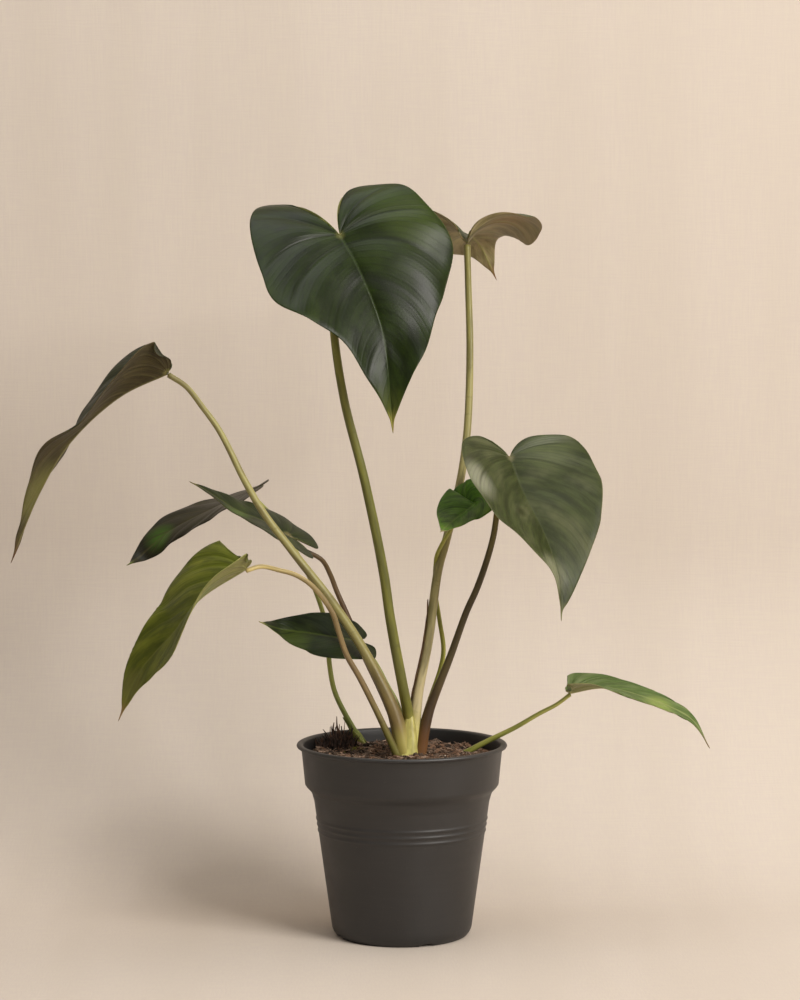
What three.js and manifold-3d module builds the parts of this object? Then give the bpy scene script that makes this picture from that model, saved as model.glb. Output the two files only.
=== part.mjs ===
// A potted plant: ten heart-shaped leaves on long stalks, in a round nursery pot filled with soil.
// Millimetres, +Z up. The origin is the middle of the pot's base, and the leaves spread along X.
import * as THREE from "three";
import { mergeVertices } from "three/addons/utils/BufferGeometryUtils.js";
import Module from "manifold-3d";

const wasm = await Module();
wasm.setup();

// Clearance between pieces that touch.
const gap = 0.3;

// Driving dimensions of the pot: outside radii, and heights above the surface that it stands on.
const pot = {
  height: 137,
  wall: 1.3,
  floor: 2.4,
  footRadius: 45.6,
  cornerRadius: 50,
  cornerHeight: 5.5,
  bodyRadius: 62.5,
  bodyHeight: 96,
  shoulderRadius: 64.6,
  shoulderHeight: 102.5,
  collarBottomRadius: 69,
  collarBottomHeight: 107.5,
  collarTopRadius: 71.6,
  lipRadius: 75,
  lipThickness: 2.7,
  lipBevel: 0.7,
  sides: 36,
  colour: 0x2f2c2b,
};

// Three moulded rings around the pot's body.
const rings = { heights: [75, 79.3, 83.6], swell: 0.5, halfHeight: 1.6 };

// Channels under the floor that let water out past the foot, and the holes that drain into them.
const drain = {
  count: 4,
  firstDegrees: -68,
  innerRadius: 26,
  width: 8.6,
  depth: 1.4,
  holeRadius: 3.2,
  holeDistance: 37,
  holeSides: 12,
};

// The soil's level and the height of the waves in it.
const soil = { level: 127, relief: 1.3, rings: 5, sides: 36, colour: 0x4a3a30 };

// The short stem that the main stalks grow from.
const crown = {
  x: 3,
  y: 0,
  bottom: 114,
  shoulder: 136,
  top: 152,
  baseRadius: 8.4,
  topRadius: 5,
  sides: 16,
  colour: 0xa9a35c,
};

// Dried ends of old stalks in the soil, as places in their clump, heights and leans.
const driedClump = {
  x: -46,
  y: 31,
  radius: 8,
  depth: 6,
  height: 3,
  stubRadius: 1.6,
  sides: 6,
  colour: 0x3a2a20,
};
const driedStubs = [
  { x: -5, y: 1, height: 20, leanX: -5, leanY: 1 },
  { x: -1, y: -2, height: 24, leanX: -1, leanY: -1 },
  { x: 2, y: 2, height: 19, leanX: 3, leanY: 2 },
  { x: 5, y: -1, height: 15, leanX: 6, leanY: -2 },
  { x: 0, y: 4, height: 13, leanX: -3, leanY: 5 },
  { x: -4, y: -3, height: 11, leanX: -7, leanY: -3 },
];

// A dry bract that clings to one stalk: heights where it starts and ends, and how far it wraps.
const bract = {
  stalk: "tall_back",
  bottom: 166,
  top: 238,
  middleDegrees: 190,
  halfDegrees: 62,
  thickness: 0.6,
  rows: 12,
  columns: 4,
  colour: 0x6b4a33,
};

// How finely the stalks and blades are divided, and a blade's thickness.
const stalkSides = 8;
const stalkStep = 22;
const bladeRows = 20;
const bladeColumns = 4;
const bladeThickness = 0.9;

// Where a blade's rows lie: the first one's place along the margin, the last one that starts at the
// stalk, how the starts of the others crowd toward the stalk, and how far each row bows.
const firstRow = 0.06;
const lastStalkRow = 0.42;
const rowCrowding = 1.35;
const rowBow = 0.16;

// The leaves, each from its stalk's foot to its blade's tip:
//   route, radii: the stalk's points from the soil up, and its radius at the foot and at the top
//   midrib: the blade's points from the stalk to the tip
//   face: at shares of the midrib, the way that the upper side looks
//   fold: at shares of the midrib, the degrees that the left and right halves rise beside it
//   curl: the degrees that they turn up from there to the margin
//   halfWidth, widest, fullness: the flat blade's half width, its widest place, and how full its tip is
//   lobe, lobeSpread: the lobes' length, and how far apart they are
//   lobeLift: the degrees that the left and right lobes bend up
const leaves = [
  {
    name: "tall_front",
    route: [
      [2, -6, 131],
      [0, -10, 176],
      [-8, -16, 227],
      [-13, -20, 262],
      [-26, -27, 326],
      [-40, -31, 382],
      [-47, -33, 429],
      [-48, -34, 465],
      [-43, -33, 495],
    ],
    radii: [4.4, 2.7],
    midrib: [
      [-43, -33, 496],
      [-34, -54, 463],
      [-26, -60, 422],
      [-10, -82, 385],
      [-7, -69, 358],
    ],
    face: [
      [0, 0, -1, 0.8],
      [0.5, 0.6, -1, 0.3],
      [1, 0.3, -1, 0.1],
    ],
    fold: [
      [0, 10, 15],
      [1, -5, 45],
    ],
    curl: [
      [0, 5, -10],
      [1, 15, 30],
    ],
    halfWidth: 69,
    lobe: 38,
    lobeSpread: 0.53,
    lobeLift: [-40, -40],
    widest: 0.18,
    fullness: 1.02,
    colour: 0x3c5524,
    stalkColour: 0x6d6a3f,
  },
  {
    name: "tall_back",
    route: [
      [7, 4, 131],
      [12, 7, 167],
      [19, 10, 209],
      [26, 14, 259],
      [32, 17, 281],
      [42, 23, 323],
      [47, 28, 359],
      [49, 36, 416],
      [48, 42, 459],
      [47, 44, 493],
    ],
    radii: [3.6, 2.3],
    midrib: [
      [47, 44, 494],
      [52, 84, 500],
      [53, 118, 501],
      [62, 153, 491],
      [73, 161, 468],
    ],
    face: [
      [0, 0, 0, 1],
      [0.5, -0.1, 0.7, 1],
      [1, -0.2, 1, 0.4],
    ],
    fold: [
      [0, 65, 60],
      [0.5, -5, 5],
      [1, 5, 0],
    ],
    curl: [
      [0, -80, -85],
      [1, -35, -35],
    ],
    halfWidth: 59,
    lobe: 34,
    lobeSpread: 0.33,
    lobeLift: [45, 45],
    widest: 0.13,
    fullness: 0.93,
    colour: 0x5c5a33,
    stalkColour: 0x6f6a42,
  },
  {
    name: "right_front",
    route: [
      [14, 8, 127],
      [22, 6, 160],
      [34, 3, 197],
      [46, 0, 231],
      [53, -2, 247],
      [60, -3, 267],
      [65, -4, 286],
      [68, -5, 307],
      [76, -6, 340],
    ],
    radii: [2.8, 2.0],
    midrib: [
      [76, -6, 341],
      [81, -6, 317],
      [101, -35, 283],
      [110, -57, 252],
      [109, -58, 229],
    ],
    face: [
      [0, 0.6, -1, 0.5],
      [0.5, 0.5, -1, 0.3],
      [1, 0.5, -1, 0.1],
    ],
    fold: [
      [0, 40, 15],
      [0.4, 15, 20],
      [1, 10, 35],
    ],
    curl: [
      [0, 10, 15],
      [0.4, 5, 25],
      [1, 0, 20],
    ],
    halfWidth: 58,
    lobe: 18,
    lobeSpread: 0.52,
    lobeLift: [25, -30],
    widest: 0.17,
    fullness: 1.05,
    colour: 0x46602a,
    stalkColour: 0x6b5a3e,
  },
  {
    name: "small_middle",
    route: [
      [16, 18, 130],
      [28, 22, 188],
      [30, 22, 201],
      [27, 23, 223],
      [24, 22, 244],
      [24, 17, 262],
      [25, 12, 270],
      [29, 9, 279],
      [35, 7, 289],
      [45, 7, 304],
    ],
    radii: [1.9, 1.3],
    midrib: [
      [46, 7, 306],
      [52, 3, 308],
      [37, -21, 298],
      [26, -62, 292],
    ],
    face: [
      [0, -0.3, -0.9, 1],
      [1, -0.1, -0.8, 1],
    ],
    fold: [
      [0, 40, 35],
      [1, -15, 20],
    ],
    curl: [
      [0, -45, -20],
      [1, 15, 30],
    ],
    halfWidth: 21,
    lobe: 13,
    lobeSpread: 0.43,
    lobeLift: [20, 20],
    widest: 0.18,
    fullness: 0.97,
    colour: 0x5f7a34,
    stalkColour: 0x95984f,
  },
  {
    name: "high_left",
    route: [
      [-1, -2, 131],
      [-8, -3, 163],
      [-26, -5, 202],
      [-49, -8, 238],
      [-75, -11, 272],
      [-98, -13, 303],
      [-110, -14, 324],
      [-128, -15, 360],
      [-140, -16, 377],
      [-151, -17, 391],
      [-164, -18, 400],
    ],
    radii: [4.0, 1.8],
    midrib: [
      [-164, -18, 401],
      [-197, -21, 385],
      [-232, -20, 353],
      [-254, -16, 318],
      [-278, 2, 265],
    ],
    face: [
      [0, -0.5, 0.2, 1],
      [0.35, -0.6, -0.1, 1],
      [0.6, -1, 0.5, 0.5],
      [0.8, -1, 0.5, 0.2],
      [1, -0.6, 1, 0.1],
    ],
    fold: [
      [0, 35, 40],
      [0.4, 15, 10],
      [0.7, 0, 30],
      [1, 5, 30],
    ],
    curl: [
      [0, -40, 0],
      [1, 5, 20],
    ],
    halfWidth: 53,
    lobe: 14,
    lobeSpread: 0.48,
    lobeLift: [85, 85],
    widest: 0.09,
    fullness: 0.82,
    colour: 0x5a5b34,
    stalkColour: 0x8a8552,
  },
  {
    name: "back_left",
    route: [
      [-28, 52, 126],
      [-37, 56, 141],
      [-49, 58, 165],
      [-53, 59, 185],
      [-55, 61, 211],
      [-61, 62, 233],
      [-72, 64, 258],
      [-90, 68, 288],
      [-112, 71, 311],
    ],
    radii: [2.4, 1.4],
    midrib: [
      [-112, 71, 312],
      [-140, 74, 299],
      [-172, 74, 282],
      [-193, 69, 264],
      [-201, 52, 259],
    ],
    face: [
      [0, -0.3, -0.2, 1],
      [0.5, -0.2, -0.1, 1],
      [1, -0.4, -1, 0.2],
    ],
    fold: [
      [0, 10, -5],
      [0.6, -5, 25],
      [1, -20, 10],
    ],
    curl: [
      [0, -10, -10],
      [1, -35, -5],
    ],
    halfWidth: 33,
    lobe: 14,
    lobeSpread: 0.45,
    lobeLift: [10, 10],
    widest: 0.09,
    fullness: 1.0,
    colour: 0x3a4024,
    stalkColour: 0x99974f,
  },
  {
    name: "middle_left",
    route: [
      [1, 10, 132],
      [-12, 19, 165],
      [-29, 28, 200],
      [-38, 37, 221],
      [-47, 41, 241],
      [-52, 40, 254],
      [-58, 34, 265],
      [-72, 31, 273],
      [-82, 20, 283],
    ],
    radii: [2.6, 1.5],
    midrib: [
      [-82, 20, 284],
      [-99, 20, 294],
      [-118, 18, 302],
      [-141, 15, 317],
      [-152, 13, 323],
    ],
    face: [
      [0, 0.2, -0.3, 1],
      [1, -0.1, -0.4, 1],
    ],
    fold: [
      [0, 10, 10],
      [1, 15, 10],
    ],
    curl: [
      [0, -5, -20],
      [1, 10, -25],
    ],
    halfWidth: 25,
    lobe: 24,
    lobeSpread: 0.5,
    lobeLift: [-15, -15],
    widest: 0.23,
    fullness: 1.01,
    colour: 0x47552f,
    stalkColour: 0x6b5542,
  },
  {
    name: "low_left",
    route: [
      [4, 12, 133],
      [-3, 16, 162],
      [-11, 18, 177],
      [-16, 19, 187],
      [-23, 18, 198],
      [-32, 19, 207],
    ],
    radii: [1.9, 1.3],
    midrib: [
      [-32, 19, 208],
      [-48, 6, 212],
      [-67, 6, 215],
      [-87, 3, 218],
      [-101, -18, 226],
    ],
    face: [
      [0, 0.2, -0.8, 1],
      [1, 0, -1, 0.9],
    ],
    fold: [
      [0, 5, 5],
      [1, 5, 15],
    ],
    curl: [
      [0, -5, 0],
      [1, -15, -10],
    ],
    halfWidth: 22,
    lobe: 12,
    lobeSpread: 0.39,
    lobeLift: [10, 10],
    widest: 0.15,
    fullness: 1.03,
    colour: 0x4a6a26,
    stalkColour: 0x93964c,
  },
  {
    name: "front_left",
    route: [
      [-3, -12, 129],
      [-14, -16, 154],
      [-29, -20, 185],
      [-39, -22, 203],
      [-44, -23, 218],
      [-49, -24, 233],
      [-63, -27, 252],
      [-75, -29, 260],
      [-85, -31, 263],
      [-98, -33, 266],
      [-109, -38, 264],
    ],
    radii: [3.0, 1.6],
    midrib: [
      [-109, -38, 265],
      [-140, -47, 245],
      [-157, -47, 223],
      [-183, -39, 192],
      [-198, -39, 158],
    ],
    face: [
      [0, -0.3, -0.1, 1],
      [0.5, -1, -0.4, 0],
      [1, -0.9, -1, -0.2],
    ],
    fold: [
      [0, 20, 30],
      [0.5, 15, 5],
      [1, 5, 20],
    ],
    curl: [
      [0, 5, -5],
      [1, 10, -5],
    ],
    halfWidth: 46,
    lobe: 11,
    lobeSpread: 0.44,
    lobeLift: [75, 75],
    widest: 0.13,
    fullness: 1.02,
    colour: 0x6d8240,
    stalkColour: 0x75604a,
  },
  {
    name: "low_right",
    route: [
      [44, 17, 126],
      [61, 12, 136],
      [81, 6, 147],
      [98, 0, 158],
      [110, -4, 165],
      [119, -7, 173],
    ],
    radii: [2.1, 1.3],
    midrib: [
      [119, -7, 174],
      [142, -9, 178],
      [165, -16, 174],
      [203, -24, 158],
      [218, -15, 135],
    ],
    face: [
      [0, 0, -0.1, 1],
      [0.5, 0.2, -0.3, 1],
      [1, 0.4, -0.6, 1],
    ],
    fold: [
      [0, 20, 30],
      [0.4, 5, 10],
      [1, 10, 0],
    ],
    curl: [
      [0, 5, 0],
      [1, 5, -25],
    ],
    halfWidth: 22,
    lobe: 6,
    lobeSpread: 0.51,
    lobeLift: [90, 90],
    widest: 0.06,
    fullness: 0.8,
    colour: 0x5a6b3c,
    stalkColour: 0x99964f,
  },
];

const ease = (t) => t * t * (3 - 2 * t);
const vector = ([x, y, z]) => new THREE.Vector3(x, y, z);
const radians = THREE.MathUtils.degToRad;

// The values at a place in a list of [place, ...values], eased from one entry to the next.
function keyed(keys, place) {
  const found = keys.findIndex(([at]) => at >= place);
  const after = found < 0 ? keys.length - 1 : Math.max(1, found);
  const [from, ...start] = keys[after - 1];
  const [to, ...end] = keys[after];
  const share = ease(THREE.MathUtils.clamp((place - from) / (to - from), 0, 1));
  return start.map((value, i) => THREE.MathUtils.lerp(value, end[i], share));
}

function smoothCurve(points) {
  const curve = new THREE.CatmullRomCurve3(points.map(vector), false, "centripetal");
  curve.arcLengthDivisions = 400;
  return curve;
}

function indexedGeometry(positions, triangles) {
  const geometry = new THREE.BufferGeometry();
  geometry.setAttribute("position", new THREE.Float32BufferAttribute(positions, 3));
  geometry.setIndex(triangles);
  return geometry;
}

// A geometry whose faces share their vertices.
function welded(geometry) {
  const bare = geometry.clone();
  bare.deleteAttribute("normal");
  bare.deleteAttribute("uv");
  return mergeVertices(bare, 1e-4);
}

// A closed geometry as a solid that can be joined and cut.
function solidOf(geometry) {
  const merged = welded(geometry);
  const shape = new wasm.Mesh({
    numProp: 3,
    vertProperties: merged.attributes.position.array,
    triVerts: new Uint32Array(merged.index.array),
  });
  return new wasm.Manifold(shape);
}

// The largest body that is left of a solid once the cutters are taken away, as a geometry. Slivers
// finer than a sixth of the clearance are smoothed away.
function carved(solid, cutters) {
  const left = cutters.reduce((rest, cutter) => rest.subtract(cutter), solid).simplify(gap / 6);
  const body = left.decompose().reduce((most, next) => (next.volume() > most.volume() ? next : most));
  const shape = body.getMesh();
  return indexedGeometry([...shape.vertProperties], [...shape.triVerts]);
}

// A lathe around +Z from a list of [radius, height].
function turned(profile, sides) {
  const points = profile.map(([radius, height]) => new THREE.Vector2(radius, height));
  return new THREE.LatheGeometry(points, sides).rotateX(Math.PI / 2);
}

// A closed round rod along a curve, with a radius for each share of its length.
function rod(curve, radiusAt, sides, steps) {
  const frames = curve.computeFrenetFrames(steps);
  const positions = [];
  const triangles = [];
  for (let i = 0; i <= steps; i++) {
    const centre = curve.getPointAt(i / steps);
    const radius = radiusAt(i / steps);
    for (let j = 0; j < sides; j++) {
      const angle = (2 * Math.PI * j) / sides;
      const point = centre
        .clone()
        .addScaledVector(frames.normals[i], radius * Math.cos(angle))
        .addScaledVector(frames.binormals[i], radius * Math.sin(angle));
      positions.push(point.x, point.y, point.z);
    }
  }
  for (let i = 0; i < steps; i++)
    for (let j = 0; j < sides; j++) {
      const here = i * sides + j;
      const beside = i * sides + ((j + 1) % sides);
      triangles.push(here, beside, here + sides, beside, beside + sides, here + sides);
    }
  const top = steps * sides;
  for (let j = 1; j < sides - 1; j++) {
    triangles.push(0, j + 1, j);
    triangles.push(top, top + j, top + j + 1);
  }
  return indexedGeometry(positions, triangles);
}

// An open surface given a thickness: a copy on each side of it, and a strip around its margin.
function thickened(surface, thickness) {
  surface.computeVertexNormals();
  const middle = surface.attributes.position;
  const normal = surface.attributes.normal;
  const count = middle.count;
  const positions = [];
  for (const side of [0.5, -0.5])
    for (let i = 0; i < count; i++) {
      const point = new THREE.Vector3().fromBufferAttribute(middle, i);
      point.addScaledVector(new THREE.Vector3().fromBufferAttribute(normal, i), side * thickness);
      positions.push(point.x, point.y, point.z);
    }
  const corners = surface.index.array;
  const edges = new Set();
  const triangles = [];
  for (let i = 0; i < corners.length; i += 3) {
    const [a, b, c] = corners.slice(i, i + 3);
    triangles.push(a, b, c, a + count, c + count, b + count);
    for (const [from, to] of [[a, b], [b, c], [c, a]]) edges.add(from * count + to);
  }
  for (const edge of edges) {
    const to = edge % count;
    const from = (edge - to) / count;
    if (!edges.has(to * count + from)) {
      triangles.push(to, from, from + count, to, from + count, to + count);
    }
  }
  return indexedGeometry(positions, triangles);
}

// Half the outline of a flat blade, from the notch at the stalk around the lobe to the tip.
// x runs along the midrib from the stalk, and y across it.
function halfOutline(leaf, length) {
  const { halfWidth, widest, fullness, lobe, lobeSpread } = leaf;
  const points = [
    [0, 0],
    [-0.45 * lobe, 0.22 * lobeSpread * halfWidth],
    [-0.92 * lobe, 0.6 * lobeSpread * halfWidth],
    [-lobe, 1.02 * lobeSpread * halfWidth],
    [-0.62 * lobe, 0.8 * halfWidth],
    [0.25 * widest * length, 0.965 * halfWidth],
    [widest * length, halfWidth],
    [(widest + 0.16) * length, 0.93 * fullness * halfWidth],
    [0.5 * length, 0.7 * fullness * halfWidth],
    [0.66 * length, 0.43 * fullness * halfWidth],
    [0.8 * length, 0.2 * fullness * halfWidth],
    [0.9 * length, 0.075 * fullness * halfWidth],
    [0.94 * length, 0.022 * halfWidth],
    [length, 0],
  ];
  return smoothCurve(points.map(([x, y]) => [x, y, 0]));
}

// The frame of a blade's left half (0) or right half (1) at a distance along its midrib: a point, the
// way on, up and to the right. Behind the stalk it carries on into the lobe, which bends up by lobeLift.
function bladeFrame(leaf, midrib, length, half, along) {
  const share = THREE.MathUtils.clamp(along / length, 0, 1);
  const point = midrib.getPointAt(share);
  const on = midrib.getTangentAt(share);
  const up = vector(keyed(leaf.face, share));
  up.addScaledVector(on, -up.dot(on)).normalize();
  const right = new THREE.Vector3().crossVectors(on, up);
  if (along < 0) {
    const bend = radians(leaf.lobeLift[half]) / leaf.lobe;
    const angle = -along * bend;
    const forward = on.clone();
    point.addScaledVector(forward, -Math.sin(angle) / bend);
    point.addScaledVector(up, (1 - Math.cos(angle)) / bend);
    up.multiplyScalar(Math.cos(angle)).addScaledVector(forward, Math.sin(angle));
  }
  return { point, up, right };
}

// A point of the blade from its place on the flat blade: side is -1 on the left and 1 on the right.
function bladePoint(leaf, midrib, length, side, along, across) {
  const half = side < 0 ? 0 : 1;
  const { point, up, right } = bladeFrame(leaf, midrib, length, half, along);
  const fold = radians(keyed(leaf.fold, along / length)[half]);
  const turnedUp = radians(keyed(leaf.curl, along / length)[half]);
  const bend = (Math.abs(turnedUp) < 1e-4 ? 1e-4 : turnedUp) / leaf.halfWidth;
  const end = fold + bend * across;
  const outward = (Math.sin(end) - Math.sin(fold)) / bend;
  const upward = (Math.cos(fold) - Math.cos(end)) / bend;
  return point.addScaledVector(right, side * outward).addScaledVector(up, upward);
}

// A blade's surface. Its rows run from the midrib to the margin as the veins do: the first ones fan
// out from the stalk, and the others leave the midrib one after another, up to the tip.
function bladeSurface(leaf) {
  const midrib = smoothCurve(leaf.midrib);
  const length = midrib.getLength();
  const outline = halfOutline(leaf, length);
  const positions = [];
  const triangles = [];
  const known = new Map();
  const vertex = (side, i, j) => {
    const t = firstRow + ((1 - firstRow) * i) / bladeRows;
    const start = length * Math.max(0, (t - lastStalkRow) / (1 - lastStalkRow)) ** rowCrowding;
    const atTip = i === bladeRows;
    const onMidrib = j === 0;
    const key = atTip ? "tip" : onMidrib ? `midrib ${start}` : `${side} ${i} ${j}`;
    if (!known.has(key)) {
      const margin = outline.getPointAt(t);
      const r = j / bladeColumns;
      const bow = rowBow * Math.min(1, t / 0.15) * Math.min(1, (1 - t) / 0.2) * 2 * r * (1 - r);
      const rise = margin.x - start;
      const along = start + rise * r - bow * margin.y;
      const across = margin.y * r + bow * Math.max(rise, -margin.y);
      const point = bladePoint(leaf, midrib, length, side, atTip ? length : along, across);
      known.set(key, positions.length / 3);
      positions.push(point.x, point.y, point.z);
    }
    return known.get(key);
  };
  const face = (...corners) => {
    if (new Set(corners).size === 3) triangles.push(...corners);
  };
  for (const side of [-1, 1])
    for (let i = 0; i < bladeRows; i++)
      for (let j = 0; j < bladeColumns; j++) {
        const a = vertex(side, i, j);
        const b = vertex(side, i, j + 1);
        const c = vertex(side, i + 1, j + 1);
        const d = vertex(side, i + 1, j);
        if (side > 0) {
          face(a, c, b);
          face(a, d, c);
        } else {
          face(a, b, c);
          face(a, c, d);
        }
      }
  return indexedGeometry(positions, triangles);
}

// A stalk, thicker by grow all around.
function stalkSolid(leaf, grow) {
  const curve = smoothCurve(leaf.route);
  const [foot, top] = leaf.radii;
  const radiusAt = (share) => THREE.MathUtils.lerp(foot, top, share) + grow;
  return solidOf(rod(curve, radiusAt, stalkSides, Math.ceil(curve.getLength() / stalkStep)));
}

function potSolid() {
  const bodySlope = (pot.bodyRadius - pot.cornerRadius) / (pot.bodyHeight - pot.cornerHeight);
  const bodyRadiusAt = (height) => pot.cornerRadius + bodySlope * (height - pot.cornerHeight);
  const ringProfile = rings.heights.flatMap((height) => [
    [bodyRadiusAt(height - rings.halfHeight), height - rings.halfHeight],
    [bodyRadiusAt(height) + rings.swell, height],
    [bodyRadiusAt(height + rings.halfHeight), height + rings.halfHeight],
  ]);
  const lipBottom = pot.height - pot.lipThickness;
  const outside = [
    [0, 0],
    [pot.footRadius, 0],
    [(pot.footRadius + pot.cornerRadius) / 2 + 0.9, pot.cornerHeight * 0.28],
    [pot.cornerRadius, pot.cornerHeight],
    ...ringProfile,
    [pot.bodyRadius, pot.bodyHeight],
    [pot.shoulderRadius, pot.shoulderHeight],
    [pot.collarBottomRadius, pot.collarBottomHeight],
    [pot.collarTopRadius, lipBottom],
    [pot.lipRadius - pot.lipBevel, lipBottom],
    [pot.lipRadius, lipBottom + pot.lipBevel],
    [pot.lipRadius, pot.height - pot.lipBevel],
    [pot.lipRadius - pot.lipBevel, pot.height],
    [pot.collarTopRadius + pot.lipBevel - pot.wall, pot.height],
    [pot.collarTopRadius - pot.wall, pot.height - pot.lipBevel],
  ];
  const walls = solidOf(turned([...outside, ...potInside(0)], pot.sides));
  const cutters = [];
  for (let i = 0; i < drain.count; i++) {
    const angle = radians(drain.firstDegrees) + (2 * Math.PI * i) / drain.count;
    const channelLength = pot.cornerRadius + 1 - drain.innerRadius;
    const channel = new THREE.BoxGeometry(channelLength, drain.width, 2 * drain.depth)
      .translate(drain.innerRadius + channelLength / 2, 0, 0)
      .rotateZ(angle);
    const { holeRadius, holeSides } = drain;
    const hole = new THREE.CylinderGeometry(holeRadius, holeRadius, 4 * pot.floor, holeSides)
      .rotateX(Math.PI / 2)
      .translate(drain.holeDistance, 0, 0)
      .rotateZ(angle);
    cutters.push(solidOf(channel), solidOf(hole));
  }
  return { walls, cutters };
}

// The pot's inside from the collar down to the middle of its floor, drawn in by a clearance.
function potInside(clearance) {
  const inset = pot.wall + clearance;
  return [
    [pot.collarBottomRadius - inset, pot.collarBottomHeight],
    [pot.shoulderRadius - inset, pot.shoulderHeight - pot.wall],
    [pot.bodyRadius - inset, pot.bodyHeight - pot.wall],
    [pot.cornerRadius - inset, pot.cornerHeight],
    [pot.cornerRadius - inset - 2, pot.floor + clearance],
    [0, pot.floor + clearance],
  ];
}

// The soil fills the pot. Its top is in low waves that cross each other, and level at the wall.
function soilSolid() {
  const collarHeight = pot.height - pot.lipThickness - pot.collarBottomHeight;
  const rise = (soil.level - pot.collarBottomHeight) / collarHeight;
  const edge = THREE.MathUtils.lerp(pot.collarBottomRadius, pot.collarTopRadius, rise) - pot.wall - gap;
  const profile = potInside(gap).reverse();
  for (let i = soil.rings; i >= 0; i--) profile.push([(edge * i) / soil.rings, soil.level]);
  const geometry = welded(turned(profile, soil.sides));
  const position = geometry.attributes.position;
  for (let i = 0; i < position.count; i++) {
    const x = position.getX(i);
    const y = position.getY(i);
    if (position.getZ(i) < soil.level - 1) continue;
    const fade = 1 - (Math.hypot(x, y) / edge) ** 4;
    const waves = Math.sin(0.21 * x + 0.7) * Math.cos(0.17 * y - 0.4) + 0.5 * Math.sin(0.43 * x - 0.38 * y);
    position.setZ(i, soil.level + soil.relief * fade * waves);
  }
  return solidOf(geometry);
}

function crownSolid(grow) {
  const profile = [
    [0, crown.bottom - grow],
    [crown.baseRadius + grow, crown.bottom - grow],
    [crown.baseRadius + grow, soil.level],
    [(crown.baseRadius + crown.topRadius) / 2 + 0.8 + grow, crown.shoulder],
    [crown.topRadius + grow, crown.top + grow],
    [0, crown.top + grow],
  ];
  return solidOf(turned(profile, crown.sides).translate(crown.x, crown.y, 0));
}

// A low mound with dried stubs that taper and lean out of it.
function driedSolid(grow) {
  const { radius, depth, height, stubRadius, sides } = driedClump;
  const mound = new THREE.SphereGeometry(radius + grow, 10, 6).rotateX(Math.PI / 2);
  mound.scale(1, 0.8, depth / radius).translate(0, 0, height - depth);
  return driedStubs.reduce((clump, stub) => {
    const points = [
      [stub.x * 0.7, stub.y * 0.7, -depth / 2],
      [stub.x, stub.y, stub.height * 0.45],
      [stub.x + stub.leanX, stub.y + stub.leanY, stub.height + grow],
    ];
    const radiusAt = (share) => stubRadius * (1 - 0.45 * share) + grow;
    return clump.add(solidOf(rod(smoothCurve(points), radiusAt, sides, 3)));
  }, solidOf(mound)).translate(driedClump.x, driedClump.y, soil.level);
}

// A dry bract wrapped part of the way around its stalk, narrow at both ends.
function bractGeometry(leaf) {
  const curve = smoothCurve(leaf.route);
  const [foot, top] = leaf.radii;
  const shareAt = (height) => {
    let share = 0;
    while (share < 1 && curve.getPointAt(share).z < height) share += 0.002;
    return share;
  };
  const [start, end] = [shareAt(bract.bottom), shareAt(bract.top)];
  const positions = [];
  const triangles = [];
  for (let i = 0; i <= bract.rows; i++) {
    const share = THREE.MathUtils.lerp(start, end, i / bract.rows);
    const centre = curve.getPointAt(share);
    const radius = THREE.MathUtils.lerp(foot, top, share) + gap + bract.thickness / 2 + 0.1;
    const reach = bract.halfDegrees * (0.35 + 0.65 * Math.sin((Math.PI * i) / bract.rows));
    for (let j = 0; j <= bract.columns; j++) {
      const angle = radians(bract.middleDegrees + reach * ((2 * j) / bract.columns - 1));
      positions.push(centre.x + radius * Math.cos(angle), centre.y + radius * Math.sin(angle), centre.z);
    }
  }
  const row = bract.columns + 1;
  for (let i = 0; i < bract.rows; i++)
    for (let j = 0; j < bract.columns; j++) {
      const here = i * row + j;
      triangles.push(here, here + 1, here + row + 1, here, here + row + 1, here + row);
    }
  return thickened(indexedGeometry(positions, triangles), bract.thickness);
}

const plant = new THREE.Group();

function addMesh(name, geometry, colour, roughness) {
  const material = new THREE.MeshStandardMaterial({ color: colour, roughness, metalness: 0 });
  const mesh = new THREE.Mesh(geometry, material);
  mesh.name = name;
  plant.add(mesh);
}

const { walls, cutters: drains } = potSolid();
addMesh("pot", carved(walls, drains), pot.colour, 0.55);

// What a stalk is cut by to seat it at its blade: the blade a little thicker, there and moved a
// little back and to either side, which leaves a clearance around its notch.
function bladeSeats(leaf, surface) {
  const seat = solidOf(thickened(surface, bladeThickness + 2 * gap));
  const [start, next] = leaf.midrib.map(vector);
  const on = next.sub(start).normalize();
  const right = new THREE.Vector3(...leaf.face[0].slice(1)).cross(on).normalize();
  return [[0, 0], [-3 * gap, 0], [0, -2 * gap], [0, 2 * gap]].map(([along, across]) => {
    const shift = on.clone().multiplyScalar(along).addScaledVector(right, across);
    return seat.translate(shift.toArray());
  });
}

// Each stalk is cut where it meets the crown, its own blade or a stalk that was placed before it.
const taken = [crownSolid(gap)];
addMesh("crown", carved(crownSolid(0), []), crown.colour, 0.6);
for (const leaf of leaves) {
  const surface = bladeSurface(leaf);
  const stalk = carved(stalkSolid(leaf, 0), [...taken, ...bladeSeats(leaf, surface)]);
  addMesh(`blade_${leaf.name}`, thickened(surface, bladeThickness), leaf.colour, 0.45);
  addMesh(`stalk_${leaf.name}`, stalk, leaf.stalkColour, 0.5);
  taken.push(stalkSolid(leaf, gap));
}
addMesh("bract", bractGeometry(leaves.find(({ name }) => name === bract.stalk)), bract.colour, 0.9);
addMesh("dried_stubs", carved(driedSolid(0), []), driedClump.colour, 0.95);
addMesh("soil", carved(soilSolid(), [...taken, driedSolid(gap)]), soil.colour, 1);

export default plant;
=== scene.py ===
import math
import random

import bpy
import numpy as np
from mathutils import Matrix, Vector, noise


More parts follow.
